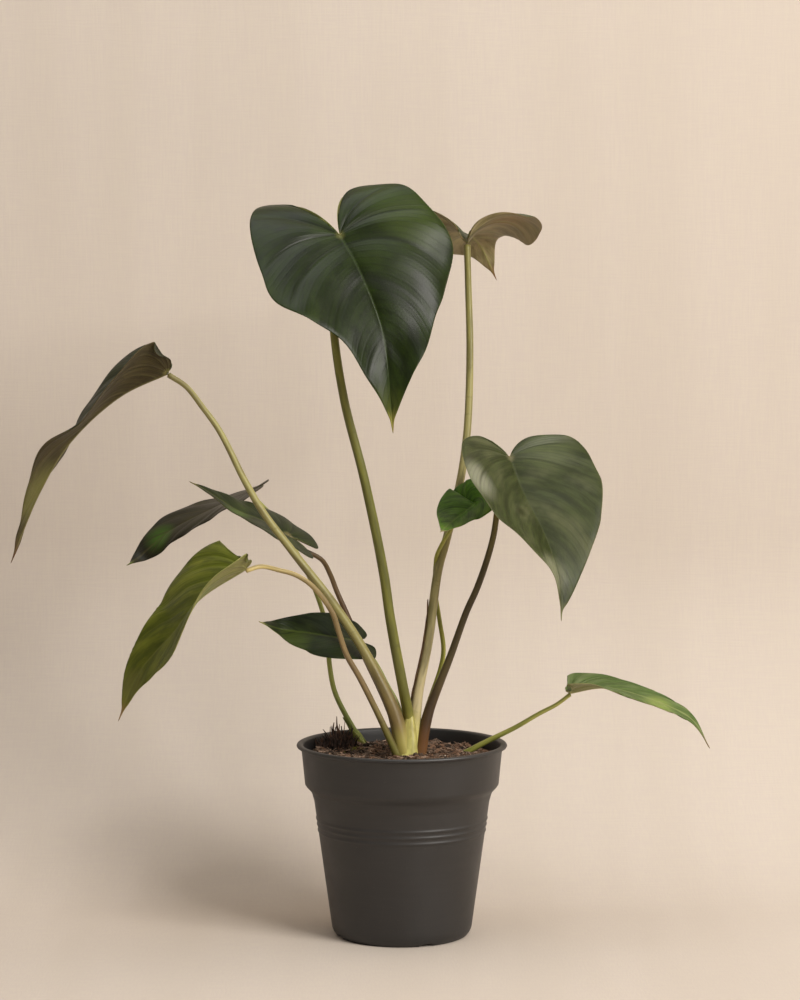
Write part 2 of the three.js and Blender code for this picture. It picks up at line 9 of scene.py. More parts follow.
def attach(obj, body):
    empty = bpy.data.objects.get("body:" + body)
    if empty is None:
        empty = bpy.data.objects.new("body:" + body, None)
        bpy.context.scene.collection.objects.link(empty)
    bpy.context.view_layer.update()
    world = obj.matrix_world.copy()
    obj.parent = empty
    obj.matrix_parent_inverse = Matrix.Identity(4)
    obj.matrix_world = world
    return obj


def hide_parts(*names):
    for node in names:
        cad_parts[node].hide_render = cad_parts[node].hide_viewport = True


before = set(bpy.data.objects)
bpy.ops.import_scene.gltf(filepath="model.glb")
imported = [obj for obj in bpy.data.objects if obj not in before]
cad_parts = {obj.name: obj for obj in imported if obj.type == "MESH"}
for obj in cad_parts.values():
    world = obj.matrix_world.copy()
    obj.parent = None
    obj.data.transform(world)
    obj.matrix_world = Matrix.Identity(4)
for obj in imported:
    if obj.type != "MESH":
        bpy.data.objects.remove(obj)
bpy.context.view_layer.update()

mm = 0.001
print("frame loaded")


def toLinear(hexColour):
    values = []
    for k in (1, 3, 5):
        c = int(hexColour[k:k + 2], 16) / 255
        values.append(c / 12.92 if c <= 0.04045 else ((c + 0.055) / 1.055) ** 2.4)
    return (*values, 1.0)


def connect(tree, node, inputs):
    # inputs in order or by socket: a number, a hex colour, or the node or output to link from
    for key, value in inputs.items() if isinstance(inputs, dict) else enumerate(inputs):
        if isinstance(value, bpy.types.Node):
            value = next(output for output in value.outputs if output.enabled)
        if isinstance(value, bpy.types.NodeSocket):
            tree.links.new(value, node.inputs[key])
        else:
            node.inputs[key].default_value = toLinear(value) if isinstance(value, str) else value


def addNode(tree, kind, settings=None, inputs=()):
    node = tree.nodes.new("ShaderNode" + kind)
    for key, value in (settings or {}).items():
        setattr(node, key, value)
    connect(tree, node, inputs)
    return node


# settings that many nodes share; a smooth step takes [value, from low, from high, to low, to high]
smoothStep = {"interpolation_type": "SMOOTHSTEP"}
multiply = {"operation": "MULTIPLY"}
multiplyAdd = {"operation": "MULTIPLY_ADD"}
addUp = {"operation": "ADD"}
mixColour = {"data_type": "RGBA"}


def newMaterial(name):
    material = bpy.data.materials.new(name)
    material.use_nodes = True
    tree = material.node_tree
    tree.nodes.clear()
    skin = addNode(tree, "BsdfPrincipled")
    addNode(tree, "OutputMaterial", None, {"Surface": skin})
    return material, tree, skin


def perMetre(*sizes):
    # noise scale for features of these sizes in mm, where places are in metres
    scales = tuple(1000 / size for size in sizes)
    return scales if len(scales) > 1 else scales[0]


def keyed(keys, place):
    # values at place between rows of [place, value, ...], eased
    keys = np.array(keys, float)
    place = np.asarray(place, float)
    spots, values = keys[:, 0], keys[:, 1:]
    i = np.clip(np.searchsorted(spots, place) - 1, 0, len(spots) - 2)
    t = np.clip((place - spots[i]) / (spots[i + 1] - spots[i]), 0, 1)
    t = (t * t * (3 - 2 * t))[..., None]
    return values[i] * (1 - t) + values[i + 1] * t


def smoothCurve(points, perSpan=24):
    # centripetal curve through the points; gives a function of the distance along it, and its length
    p = np.array(points, float)
    p = np.vstack([2 * p[0] - p[1], p, 2 * p[-1] - p[-2]])
    line = []
    for i in range(1, len(p) - 2):
        a, b, c, d = p[i - 1:i + 3]
        t1 = np.linalg.norm(b - a) ** 0.5
        t2 = t1 + np.linalg.norm(c - b) ** 0.5
        t3 = t2 + np.linalg.norm(d - c) ** 0.5
        for k in range(perSpan + (i == len(p) - 3)):
            t = t1 + (t2 - t1) * k / perSpan
            ab = (t1 - t) / t1 * a + t / t1 * b
            bc = (t2 - t) / (t2 - t1) * b + (t - t1) / (t2 - t1) * c
            cd = (t3 - t) / (t3 - t2) * c + (t - t2) / (t3 - t2) * d
            abc = (t2 - t) / t2 * ab + t / t2 * bc
            bcd = (t3 - t) / (t3 - t1) * bc + (t - t1) / (t3 - t1) * cd
            line.append((t2 - t) / (t2 - t1) * abc + (t - t1) / (t2 - t1) * bcd)
    line = np.array(line)
    run = np.r_[0, np.cumsum(np.linalg.norm(np.diff(line, axis=0), axis=1))]
    length = run[-1]

    def at(distance):
        distance = np.clip(distance, 0, length)
        return np.stack([np.interp(distance, run, line[:, k]) for k in range(line.shape[1])], -1)

    return at, length


def unit(v):
    return v / np.maximum(np.linalg.norm(v, axis=-1, keepdims=True), 1e-12)


def ringFaces(spans, sides, first=0):
    # quads between rings of points, facing out where the rings run upwards
    faces = []
    for span in range(spans):
        low = first + span * sides
        for k in range(sides):
            n = (k + 1) % sides
            faces.append([low + k, low + n, low + sides + n, low + sides + k])
    return faces


def newPiece(name, vertices, faces, materials, slots=None, smooth=True, places=None):
    # vertices in mm; places: {attribute name: one vector for each face corner}
    mesh = bpy.data.meshes.new(name)
    mesh.from_pydata((np.asarray(vertices, float) * mm).tolist(), [], faces)
    for material in materials:
        mesh.materials.append(material)
    if slots is not None:
        mesh.polygons.foreach_set("material_index", np.array(slots, np.int32))
    mesh.polygons.foreach_set("use_smooth", np.full(len(mesh.polygons), smooth))
    for key, vectors in (places or {}).items():
        layer = mesh.attributes.new(key, "FLOAT_VECTOR", "CORNER")
        layer.data.foreach_set("vector", np.asarray(vectors, np.float32).ravel())
    mesh.update()
    piece = bpy.data.objects.new(name, mesh)
    bpy.context.scene.collection.objects.link(piece)
    return piece


# The leaves, on the solids' stalks and blades, with the two largest blades refined: mm, and turns in degrees.
# route: the stalk from foot to top; radii: the stalk at both ends; midrib: from the stalk to the tip.
# face, fold and curl start their rows with the share of the way along the midrib. face: which way the
# upper side looks; fold: how steeply each half leaves the midrib; curl: how far it bends on to its margin.
# The first of two halves is the left one, seen from above with the tip ahead.
# footTone: a colour at the stalk's foot, and the distances between which it fades.
# patches: [across, along, radius, colour, strength] on the flat blade: the leaf's own blotches and tones, and
# on some leaves painted highlights and painted glow.
leaves = {
    "tall_front": {
        "route": [[8, 3, 131], [5.6, -1.5, 152], [1.2, -8, 176], [-8, -16, 227], [-13, -20, 262],
                  [-26, -27, 326], [-40, -31, 382], [-47, -33, 429], [-48, -34, 465], [-43, -33, 495]],
        "radii": [3.9, 2.6],
        "midrib": [[-43, -33, 496], [-30, -43, 473], [-14, -55, 432], [-9, -63, 399], [-6, -66, 360]],
        "face": [[0, -0.11, -1, 0.46], [0.5, 0.2, -1, 0.2], [1, 0.04, -1, 0.11]],
        "fold": [[0, -3, 26], [0.5, 5, 19], [1, 31, 27]],
        "curl": [[0, -17, -5], [0.5, -38, 5], [1, 0, 8]],
        "halfWidth": 71, "lobe": 37, "lobeSpread": 0.5, "lobeLift": [-46, -46], "widest": 0.25,
        "fullness": 0.8, "veins": 7, "pleat": 1.5, "wave": 0.8,
        "upper": {"deep": "#0e1601", "mid": "#1a2603", "light": "#283608", "vein": "#0e1602",
                  "midrib": "#2c3a10", "margin": "#3d4a1e", "tip": "#8f8a40", "attach": "#5a5a2c",
                  "gloss": [0.32, 0.42]},
        "under": {"deep": "#55582f", "mid": "#6a6c3c", "light": "#868550", "vein": "#8d9150",
                  "midrib": "#8f8a55", "margin": "#7a5a35", "tip": "#8a6a3a", "attach": "#8a8550"},
        "stalkColours": ["#77742f", "#6a6a2c", "#7c7a38"], "stalkShade": "#4a4a22",
        "footTone": ["#b5ae5c", 22, 40],
        "patches": [[-52, 10, 30, "#3b4a12", 0.5], [-40, -18, 24, "#33430f", 0.45],
                    [30, 52, 26, "#182205", 0.5], [6, 132, 22, "#4c5420", 0.5]],
    },
    "tall_back": {
        "route": [[7.5, 3, 131], [9, 4.5, 150], [11.4, 6, 171], [19, 9.5, 209], [26, 14, 259],
                  [32, 17, 281], [42, 23, 323], [47, 28, 359], [49, 36, 416], [48, 42, 459], [47, 44, 493]],
        "radii": [3.6, 2.3],
        "midrib": [[47, 44, 494], [52, 84, 500], [53, 118, 501], [62, 153, 491], [73, 161, 468]],
        "face": [[0, 0, 0, 1], [0.5, -0.1, 0.7, 1], [1, -0.2, 1, 0.4]],
        "fold": [[0, 65, 60], [0.5, -5, 5], [1, 5, 0]],
        "curl": [[0, -80, -85], [1, -35, -35]],
        "halfWidth": 59, "lobe": 34, "lobeSpread": 0.33, "lobeLift": [45, 45], "widest": 0.13,
        "fullness": 0.93, "veins": 8, "pleat": 0.7, "wave": 0.6,
        "upper": {"deep": "#1f290c", "mid": "#323d15", "light": "#4a5425", "vein": "#2a3a14",
                  "midrib": "#75803f", "margin": "#7a5a35", "tip": "#8a6a3a", "attach": "#8a7a52"},
        "under": {"deep": "#62583a", "mid": "#837656", "light": "#999163", "vein": "#77784a",
                  "midrib": "#84804f", "margin": "#6a4a2c", "tip": "#6a4626", "attach": "#7d7a3f"},
        "stalkColours": ["#c0b28a", "#98905e", "#858048"], "stalkShade": "#55502f",
        "footTone": ["#c4bb72", 16, 44],
        "patches": [[8, -6, 14, "#2e3014", 0.6], [30, 20, 22, "#8a6a3c", 0.4]],
    },
    "right_front": {
        "route": [[13, 3, 127], [14.6, 3, 138], [17, 3.5, 150], [20, 4, 161], [34, 3, 197], [46, 0, 231],
                  [53, -2, 247], [60, -3, 267], [65, -4, 286], [68, -5, 307], [76, -6, 340]],
        "radii": [2.8, 2.0],
        "midrib": [[76, -6, 341], [85, -18, 317], [100, -36, 287], [109, -49, 258], [110, -56, 230]],
        "face": [[0, 0.75, -1, 0.72], [0.5, 0.72, -1, 0.28], [1, 0.68, -1, 0.07]],
        "fold": [[0, 25, 11], [0.4, 26, 11], [1, 17, 45]],
        "curl": [[0, -8, 8], [0.4, -7, 17], [1, 5, 22]],
        "halfWidth": 58, "lobe": 14, "lobeSpread": 0.47, "lobeLift": [17, -2], "widest": 0.14,
        "fullness": 1.07, "veins": 6, "pleat": 0.7, "wave": 0.5,
        "upper": {"deep": "#262c12", "mid": "#3a4120", "light": "#5c5e40", "vein": "#272c12",
                  "midrib": "#3c4224", "margin": "#7c7a58", "tip": "#66663f", "attach": "#6a6548"},
        "under": {"deep": "#5d5c38", "mid": "#74704a", "light": "#8b865c", "vein": "#8f9058",
                  "midrib": "#9a8a62", "margin": "#8f8f6a", "tip": "#77774a", "attach": "#9a8a62"},
        "stalkColours": ["#4a301a", "#4d4324", "#7a7038"], "stalkShade": "#33281a",
        "footTone": ["#6b4a2c", 14, 34],
        # the two small dark patches are the leaf's own blotches; the two pale grey ones, at the margin and
        # near the tip, are painted highlights
        "patches": [[14, 46, 6, "#222408", 0.85], [41, 66, 5, "#2c2d12", 0.75], [48, 24, 18, "#8f907c", 0.6],
                    [10, 96, 18, "#8a8b70", 0.6], [-30, 0, 22, "#5c6440", 0.4]],
    },
    "small_middle": {
        "route": [[9, 11, 130], [19, 17, 162], [28, 22, 188], [30, 22, 201], [27, 23, 223], [24, 22, 244],
                  [24, 17, 262], [25, 12, 270], [29, 9, 279], [35, 7, 289], [46, 7, 305]],
        "radii": [1.9, 1.3],
        "midrib": [[46, 7, 306], [52, 3, 308], [37, -21, 298], [26, -62, 292]],
        "face": [[0, -0.3, -0.9, 1], [1, -0.1, -0.8, 1]],
        "fold": [[0, 40, 35], [1, -15, 20]],
        "curl": [[0, -45, -20], [1, 15, 30]],
        "halfWidth": 21, "lobe": 13, "lobeSpread": 0.43, "lobeLift": [20, 20], "widest": 0.18,
        "fullness": 0.97, "veins": 7, "pleat": 0.3, "wave": 0.2,
        "upper": {"deep": "#2c4a0a", "mid": "#4a6e16", "light": "#7a9a2c", "vein": "#1f3806",
                  "midrib": "#6a7a3c", "margin": "#6f7a40", "tip": "#8a7a5a", "attach": "#8a8a52"},
        "under": {"deep": "#6c664c", "mid": "#857d62", "light": "#9a927a", "vein": "#a09a70",
                  "midrib": "#a59a80", "margin": "#8a805c", "tip": "#8a7a5a", "attach": "#9a9468"},
        "stalkColours": ["#8f8f3a", "#99983f", "#a3a24c"], "stalkShade": "#5c5f22",
        "patches": [[-10, 30, 8, "#1f380a", 0.5]],
    },
    "high_left": {
        "route": [[2.5, -6, 128], [0, -6.5, 138], [-2.8, -6.5, 150], [-6.8, -6, 163], [-26, -5, 202],
                  [-49, -8, 238], [-75, -11, 272], [-98, -13, 303], [-110, -14, 324], [-128, -15, 360],
                  [-140, -16, 377], [-151, -17, 391], [-164, -18, 400]],
        "radii": [4.0, 1.8],
        "midrib": [[-164, -18, 401], [-197, -21, 385], [-232, -20, 353], [-254, -16, 318], [-278, 2, 265]],
        "face": [[0, -0.5, 0.2, 1], [0.35, -0.6, -0.1, 1], [0.6, -1, 0.5, 0.5], [0.8, -1, 0.5, 0.2],
                 [1, -0.6, 1, 0.1]],
        "fold": [[0, 35, 40], [0.4, 15, 10], [0.7, 0, 30], [1, 5, 30]],
        "curl": [[0, -40, 0], [1, 5, 20]],
        "halfWidth": 53, "lobe": 14, "lobeSpread": 0.48, "lobeLift": [85, 85], "widest": 0.09,
        "fullness": 0.82, "veins": 9, "pleat": 0.5, "wave": 0.4,
        "upper": {"deep": "#161d0a", "mid": "#23290f", "light": "#35391b", "vein": "#1e240f",
                  "midrib": "#555430", "margin": "#6a5a38", "tip": "#6a4a30", "attach": "#7d7a4c"},
        "under": {"deep": "#302919", "mid": "#433a25", "light": "#5a5334", "vein": "#5c5836",
                  "midrib": "#77704a", "margin": "#6a5a38", "tip": "#5c3f2a", "attach": "#8a8552"},
        "stalkColours": ["#7f6a3f", "#8a8450", "#a59f64"], "stalkShade": "#57492c",
        "footTone": ["#a59a54", 16, 34],
        "patches": [[0, 130, 30, "#8a8a48", 0.35]],
    },
    "back_left": {
        "route": [[-28, 52, 126], [-37, 56, 141], [-49, 58, 165], [-53, 59, 185], [-55, 61, 211],
                  [-61, 62, 233], [-72, 64, 258], [-90, 68, 288], [-112, 71, 311]],
        "radii": [2.0, 1.4],
        "midrib": [[-112, 71, 312], [-140, 74, 299], [-172, 74, 282], [-193, 69, 264], [-201, 52, 259]],
        "face": [[0, -0.3, -0.2, 1], [0.5, -0.2, -0.1, 1], [1, -0.4, -1, 0.2]],
        "fold": [[0, 10, -5], [0.6, -5, 25], [1, -20, 10]],
        "curl": [[0, -10, -10], [1, -35, -5]],
        "halfWidth": 33, "lobe": 14, "lobeSpread": 0.45, "lobeLift": [10, 10], "widest": 0.09,
        "fullness": 1.0, "veins": 8, "pleat": 0.4, "wave": 0.5,
        # the green tip colour, above and below, is a painted glow of light shining through the drooping tip
        "upper": {"deep": "#141306", "mid": "#23210d", "light": "#3a371d", "vein": "#3c3820",
                  "midrib": "#514c2c", "margin": "#5a4a30", "tip": "#5f6a2c", "attach": "#6a683c"},
        "under": {"deep": "#2f291a", "mid": "#403824", "light": "#564d34", "vein": "#4c4430",
                  "midrib": "#77704a", "margin": "#5a4a30", "tip": "#5f6a2c", "attach": "#77704a"},
        "stalkColours": ["#7f8a3e", "#94984a", "#a09f52"], "stalkShade": "#5d6426",
        # a painted green glow of light shining through the blade towards its tip
        "patches": [[0, 74, 14, "#4f7a22", 0.6]],
    },
    "middle_left": {
        "route": [[1, 10, 132], [-12, 19, 165], [-29, 28, 200], [-38, 37, 221], [-47, 41, 241],
                  [-52, 40, 254], [-58, 34, 265], [-72, 31, 273], [-82, 20, 283]],
        "radii": [2.6, 1.5],
        "midrib": [[-82, 20, 284], [-99, 20, 294], [-118, 18, 302], [-141, 15, 317], [-152, 13, 323]],
        "face": [[0, 0.2, -0.3, 1], [1, -0.1, -0.4, 1]],
        "fold": [[0, 10, 10], [1, 15, 10]],
        "curl": [[0, -5, -20], [1, 10, -25]],
        "halfWidth": 25, "lobe": 24, "lobeSpread": 0.5, "lobeLift": [-15, -15], "widest": 0.23,
        "fullness": 1.01, "veins": 7, "pleat": 0.35, "wave": 0.3,
        "upper": {"deep": "#172008", "mid": "#252f0f", "light": "#3c471c", "vein": "#182108",
                  "midrib": "#5c6034", "margin": "#6f6a45", "tip": "#77683c", "attach": "#7a6f4a"},
        "under": {"deep": "#46421f", "mid": "#59542f", "light": "#6e6743", "vein": "#85804f",
                  "midrib": "#8f8560", "margin": "#6f6a45", "tip": "#77683c", "attach": "#8f8560"},
        "stalkColours": ["#64482c", "#6b5136", "#6f5c3a"], "stalkShade": "#45301e",
        "patches": [[-8, 40, 12, "#5d7a2c", 0.4]],
    },
    "low_left": {
        "route": [[4, 12, 133], [-3, 16, 162], [-11, 18, 177], [-16, 19, 187], [-23, 18, 198],
                  [-32, 19, 207]],
        "radii": [1.9, 1.3],
        "midrib": [[-32, 19, 208], [-48, 6, 212], [-67, 6, 215], [-87, 3, 218], [-101, -18, 226]],
        "face": [[0, 0.2, -0.8, 1], [1, 0, -1, 0.9]],
        "fold": [[0, 5, 5], [1, 5, 15]],
        "curl": [[0, -5, 0], [1, -15, -10]],
        "halfWidth": 22, "lobe": 12, "lobeSpread": 0.39, "lobeLift": [10, 10], "widest": 0.15,
        "fullness": 1.03, "veins": 7, "pleat": 0.35, "wave": 0.3,
        "upper": {"deep": "#101903", "mid": "#1d2806", "light": "#344010", "vein": "#121d03",
                  "midrib": "#4c5a1c", "margin": "#7a8040", "tip": "#8a8240", "attach": "#8a8a4a"},
        "under": {"deep": "#5c6a34", "mid": "#78804a", "light": "#949a62", "vein": "#8f9a58",
                  "midrib": "#a0a068", "margin": "#7a8040", "tip": "#8a8240", "attach": "#a0a068"},
        "stalkColours": ["#8a8c3c", "#93964a", "#9fa052"], "stalkShade": "#5c6326",
        "patches": [[-10, 50, 16, "#5c6e24", 0.3]],
    },
    "front_left": {
        "route": [[-3, -12, 129], [-14, -16, 154], [-29, -20, 185], [-39, -22, 203], [-44, -23, 218],
                  [-49, -24, 233], [-63, -27, 252], [-75, -29, 260], [-85, -31, 263], [-98, -33, 266],
                  [-109, -38, 264]],
        "radii": [2.4, 1.5],
        "midrib": [[-109, -38, 265], [-140, -47, 245], [-157, -47, 223], [-183, -39, 192], [-198, -39, 158]],
        "face": [[0, -0.3, -0.1, 1], [0.5, -1, -0.4, 0], [1, -0.9, -1, -0.2]],
        "fold": [[0, 20, 30], [0.5, 15, 5], [1, 5, 20]],
        "curl": [[0, 5, -5], [1, 10, -5]],
        "halfWidth": 46, "lobe": 11, "lobeSpread": 0.44, "lobeLift": [75, 75], "widest": 0.13,
        "fullness": 1.02, "veins": 8, "pleat": 0.55, "wave": 0.5,
        # the bright yellow-green upper colours are partly the leaf's own and partly a painted glow of light
        # shining through the thin blade
        "upper": {"deep": "#3f460c", "mid": "#5d6419", "light": "#80832b", "vein": "#4c5412",
                  "midrib": "#75773a", "margin": "#8a8a52", "tip": "#7a5a3a", "attach": "#9aa066"},
        "under": {"deep": "#6c6c38", "mid": "#85844a", "light": "#9a9860", "vein": "#a8b078",
                  "midrib": "#b5b688", "margin": "#8a8a52", "tip": "#7a5a3a", "attach": "#a8a67a"},
        "stalkColours": ["#6f6c34", "#8a744c", "#c0ad72"], "stalkShade": "#4c3c26",
        "patches": [[-20, 40, 20, "#4f6c24", 0.4], [0, 118, 16, "#6f6a3a", 0.5]],
    },
    "low_right": {
        "route": [[44, 17, 126], [61, 12, 136], [81, 6, 147], [98, 0, 158], [110, -4, 165], [119, -7, 173]],
        "radii": [2.1, 1.3],
        "midrib": [[119, -7, 174], [142, -9, 178], [165, -16, 174], [203, -24, 158], [218, -15, 135]],
        "face": [[0, 0, -0.1, 1], [0.5, 0.2, -0.3, 1], [1, 0.4, -0.6, 1]],
        "fold": [[0, 20, 30], [0.4, 5, 10], [1, 10, 0]],
        "curl": [[0, 5, 0], [1, 5, -25]],
        "halfWidth": 22, "lobe": 6, "lobeSpread": 0.51, "lobeLift": [90, 90], "widest": 0.06,
        "fullness": 0.8, "veins": 8, "pleat": 0.35, "wave": 0.3,
        "upper": {"deep": "#3c4f1f", "mid": "#566a34", "light": "#8a9468", "vein": "#3f5220",
                  "midrib": "#8f9560", "margin": "#8a8258", "tip": "#6a4a2c", "attach": "#8f8f58"},
        "under": {"deep": "#6a6c3f", "mid": "#848556", "light": "#9d9b70", "vein": "#9a9c64",
                  "midrib": "#a5a272", "margin": "#8a8258", "tip": "#6a4a2c", "attach": "#a5a272"},
        "stalkColours": ["#8d9040", "#999a4c", "#a3a256"], "stalkShade": "#5f6628",
        "patches": [[4, 66, 14, "#93a052", 0.5]],
    },
}

lamina = {
    "thickness": 0.55, "marginStep": 1.35, "columns": 18, "columnCrowding": 1.3, "edgeColumn": 0.985,
    "firstRow": 0.03, "lastStalkRow": 0.45, "rowCrowding": 1.9, "rowBow": 0.24,
    "lobeReach": 1.4, "lobeSteps": 140, "lobeEase": 1.6, "ribHeight": 1.5, "ribWidth": 1.3, "ribStalk": 2.2,
    "grooveDepth": 0.3, "grooveWidth": 1.6, "veinHeight": 0.22, "veinWidth": 0.12,
    "calmTip": 0.12, "edgeThinning": 0.014, "endThinning": 0.02,
    # looks: streaks to a main vein, fine veins between two main ones, and sizes in mm
    "streaks": 4.2, "streakRun": 2.4, "fineVeins": 6, "cloudSize": 25, "cellSize": 0.625,
    "upper": {"vein": 0.2, "veinShare": 0.6, "rib": 0.45, "gloss": [0.38, 0.5],
              "specular": 0.22, "relief": -0.2},
    "under": {"vein": 0.16, "veinShare": 0.35, "rib": 0.85, "gloss": [0.5, 0.62],
              "specular": 0.25, "relief": 0.3},
}


def leafSkin(name, leaf, side, seed):
    # living leaf lamina under a thin wax: satin; above, darker in the sunken veins (painted shade in these
    # creases) and lighter in clouds on the swellings between them (partly painted light); duller and paler
    # below
    material, tree, skin = newMaterial(name)
    look, finish, veins = leaf[side], lamina[side], leaf["veins"]
    place = addNode(tree, "Attribute", {"attribute_name": "bladePlace"}).outputs["Vector"]
    run, share, on = addNode(tree, "SeparateXYZ", None, [place]).outputs[:3]
    flat = addNode(tree, "Attribute", {"attribute_name": "bladeFlat"}).outputs["Vector"]
    across, along = addNode(tree, "SeparateXYZ", None, [flat]).outputs[:2]
    onBlade = addNode(tree, "CombineXYZ", None, [across, along])
    # wave: 0 on a main vein, 1 halfway to the next; fine: 1 on a fine vein
    wave = addNode(tree, "Math", multiply, [run, 2 * veins])
    wave = addNode(tree, "Math", {"operation": "PINGPONG"}, [wave, 1])
    outward = addNode(tree, "MapRange", smoothStep, [share, 0.55, 0.98, 1, 0])
    vein = addNode(tree, "MapRange", smoothStep, [wave, 0.02, finish["vein"], 1, 0])
    vein = addNode(tree, "Math", multiply, [vein, outward])
    fine = addNode(tree, "Math", multiply, [run, 2 * veins * lamina["fineVeins"]])
    fine = addNode(tree, "Math", {"operation": "PINGPONG"}, [fine, 1])
    fine = addNode(tree, "MapRange", smoothStep, [fine, 0.05, 0.5, 1, 0])
    # streaks that run with the veins, soft clouds, and the skin's own fine cells
    streak = addNode(tree, "CombineXYZ", None, [
        addNode(tree, "Math", multiply, [run, veins * lamina["streaks"]]),
        addNode(tree, "Math", multiply, [share, lamina["streakRun"]]), seed * 3.7])
    streak = addNode(tree, "TexNoise", None, {"Vector": streak, "Scale": 1, "Detail": 4, "Roughness": 0.62})
    cloud = addNode(tree, "TexNoise", {"noise_dimensions": "4D"},
                    {"Vector": flat, "W": seed * 1.3, "Scale": 1 / lamina["cloudSize"], "Detail": 3})
    cells = addNode(tree, "TexNoise", None, {"Vector": flat, "Scale": 1 / lamina["cellSize"], "Detail": 2})
    mottle = addNode(tree, "MapRange", smoothStep, [streak, 0.3, 0.68, 0, 1])
    # lighter clouds, stronger halfway between the veins where the lamina swells: partly random tone, partly
    # painted light on the pleat ridges
    lift = addNode(tree, "Math", multiply, [
        addNode(tree, "MapRange", smoothStep, [cloud, 0.42, 0.7, 0, 1]),
        addNode(tree, "MapRange", smoothStep, [wave, 0.2, 1, 0.15, 0.6])])
    layers = [(mottle, look["mid"]), (lift, look["light"])]
    # soft patches: the leaf's own blotches and tones, and on some leaves painted highlights and painted glow
    for x, y, radius, hexColour, strength in leaf["patches"]:
        away = addNode(tree, "VectorMath", {"operation": "DISTANCE"}, [onBlade, (x, y, 0)]).outputs["Value"]
        ragged = addNode(tree, "Math", multiplyAdd, [cloud, 0.8 * radius, away])
        spot = addNode(tree, "MapRange", smoothStep, [ragged, 0.65 * radius, 1.5 * radius, strength, 0])
        layers.append((spot, hexColour))
    reach = addNode(tree, "VectorMath", {"operation": "LENGTH"}, [onBlade]).outputs["Value"]
    fromRib = addNode(tree, "Math", {"operation": "ABSOLUTE"}, [across])
    toTip = addNode(tree, "Math", multiplyAdd, [streak, 0.12, on])
    layers += [
        # the vein colour: above, darker in the sunken veins as painted shade in these creases; below, paler
        # on the raised veins
        (addNode(tree, "Math", multiply, [fine, 0.18]), look["vein"]),
        (addNode(tree, "Math", multiply, [vein, finish["veinShare"]]), look["vein"]),
        (addNode(tree, "MapRange", smoothStep, [fromRib, 0.3, 1.2, finish["rib"], 0]), look["midrib"]),
        (addNode(tree, "MapRange", smoothStep, [reach, 0.8, 5, 0.7, 0]), look["attach"]),
        (addNode(tree, "MapRange", smoothStep, [toTip, 0.93, 1.04, 0, 0.95]), look["tip"]),
        (addNode(tree, "MapRange", smoothStep, [share, 0.985, 0.999, 0, 0.5]), look["margin"])]
    colour = look["deep"]
    for amount, hexColour in layers:
        colour = addNode(tree, "Mix", mixColour, {0: amount, 6: colour, 7: hexColour})
    height = addNode(tree, "Math", multiply, [streak, 0.5])
    height = addNode(tree, "Math", multiplyAdd, [cells, 0.25, height])
    height = addNode(tree, "Math", multiplyAdd, [fine, finish["relief"], height])
    gloss = look.get("gloss", finish["gloss"])
    connect(tree, skin, {
        "Base Color": colour, "IOR": 1.44, "Specular IOR Level": finish["specular"],
        "Roughness": addNode(tree, "MapRange", smoothStep, [cloud, 0.35, 0.7, *gloss]),
        "Subsurface Weight": 0.12, "Subsurface Radius": (0.6, 1.0, 0.25), "Subsurface Scale": 0.0012,
        "Normal": addNode(tree, "Bump", None, {"Strength": 0.5, "Distance": 0.0004, "Height": height})})
    return material


def halfOutline(leaf, length):
    # half of the flat blade from the stalk, around the lobe and down to the tip, as shares of its sizes
    width, lobe, spread = leaf["halfWidth"], leaf["lobe"], leaf["lobeSpread"]
    widest, full = leaf["widest"], leaf["fullness"]
    return smoothCurve([
        [0, 0], [-0.45 * lobe, 0.22 * spread * width], [-0.92 * lobe, 0.6 * spread * width],
        [-lobe, 1.02 * spread * width], [-0.62 * lobe, 0.8 * width], [0.25 * widest * length, 0.965 * width],
        [widest * length, width], [(widest + 0.16) * length, 0.93 * full * width],
        [0.5 * length, 0.7 * full * width], [0.66 * length, 0.43 * full * width],
        [0.8 * length, 0.2 * full * width], [0.9 * length, 0.075 * full * width],
        [0.94 * length, 0.022 * width], [length, 0]])


def bladeFrame(leaf, midrib, length, half, along):
    share = np.clip(along / length, 0, 1)
    point = midrib(share * length)
    # the midrib's direction, over a short way on both sides of the point
    nearby = 0.4
    ahead, before = (midrib(np.clip(share * length + way, 0, length)) for way in (nearby, -nearby))
    on = unit(ahead - before)
    up = keyed(leaf["face"], share)
    up = unit(up - on * (up * on).sum(-1, keepdims=True))
    right = np.cross(on, up)
    # behind the stalk the lobe bends up, gently at first
    back = np.linspace(0, lamina["lobeReach"], lamina["lobeSteps"] + 1)
    turn = math.radians(leaf["lobeLift"][half]) * back ** lamina["lobeEase"]
    stride = back[1] * leaf["lobe"]
    flatRun = np.r_[0, np.cumsum(np.cos(turn[:-1]))] * stride
    risen = np.r_[0, np.cumsum(np.sin(turn[:-1]))] * stride
    behind = np.maximum(-along, 0) / leaf["lobe"]
    angle, out, lift = (np.interp(behind, back, values)[..., None] for values in (turn, flatRun, risen))
    point = point - on * out + up * lift
    up = up * np.cos(angle) + on * np.sin(angle)
    return point, up, right


def bladePoint(leaf, midrib, length, half, along, across):
    # the half leaves the midrib at its fold, and bends on in an arc
    point, up, right = bladeFrame(leaf, midrib, length, half, along)
    fold = np.radians(keyed(leaf["fold"], along / length)[..., half])
    turned = np.radians(keyed(leaf["curl"], along / length)[..., half])
    bend = np.where(abs(turned) < 1e-4, 1e-4, turned) / leaf["halfWidth"]
    end = fold + bend * across
    outward = (np.sin(end) - np.sin(fold)) / bend
    upward = (np.cos(fold) - np.cos(end)) / bend
    side = 1 if half else -1
    return point + right * (side * outward)[..., None] + up * upward[..., None], up


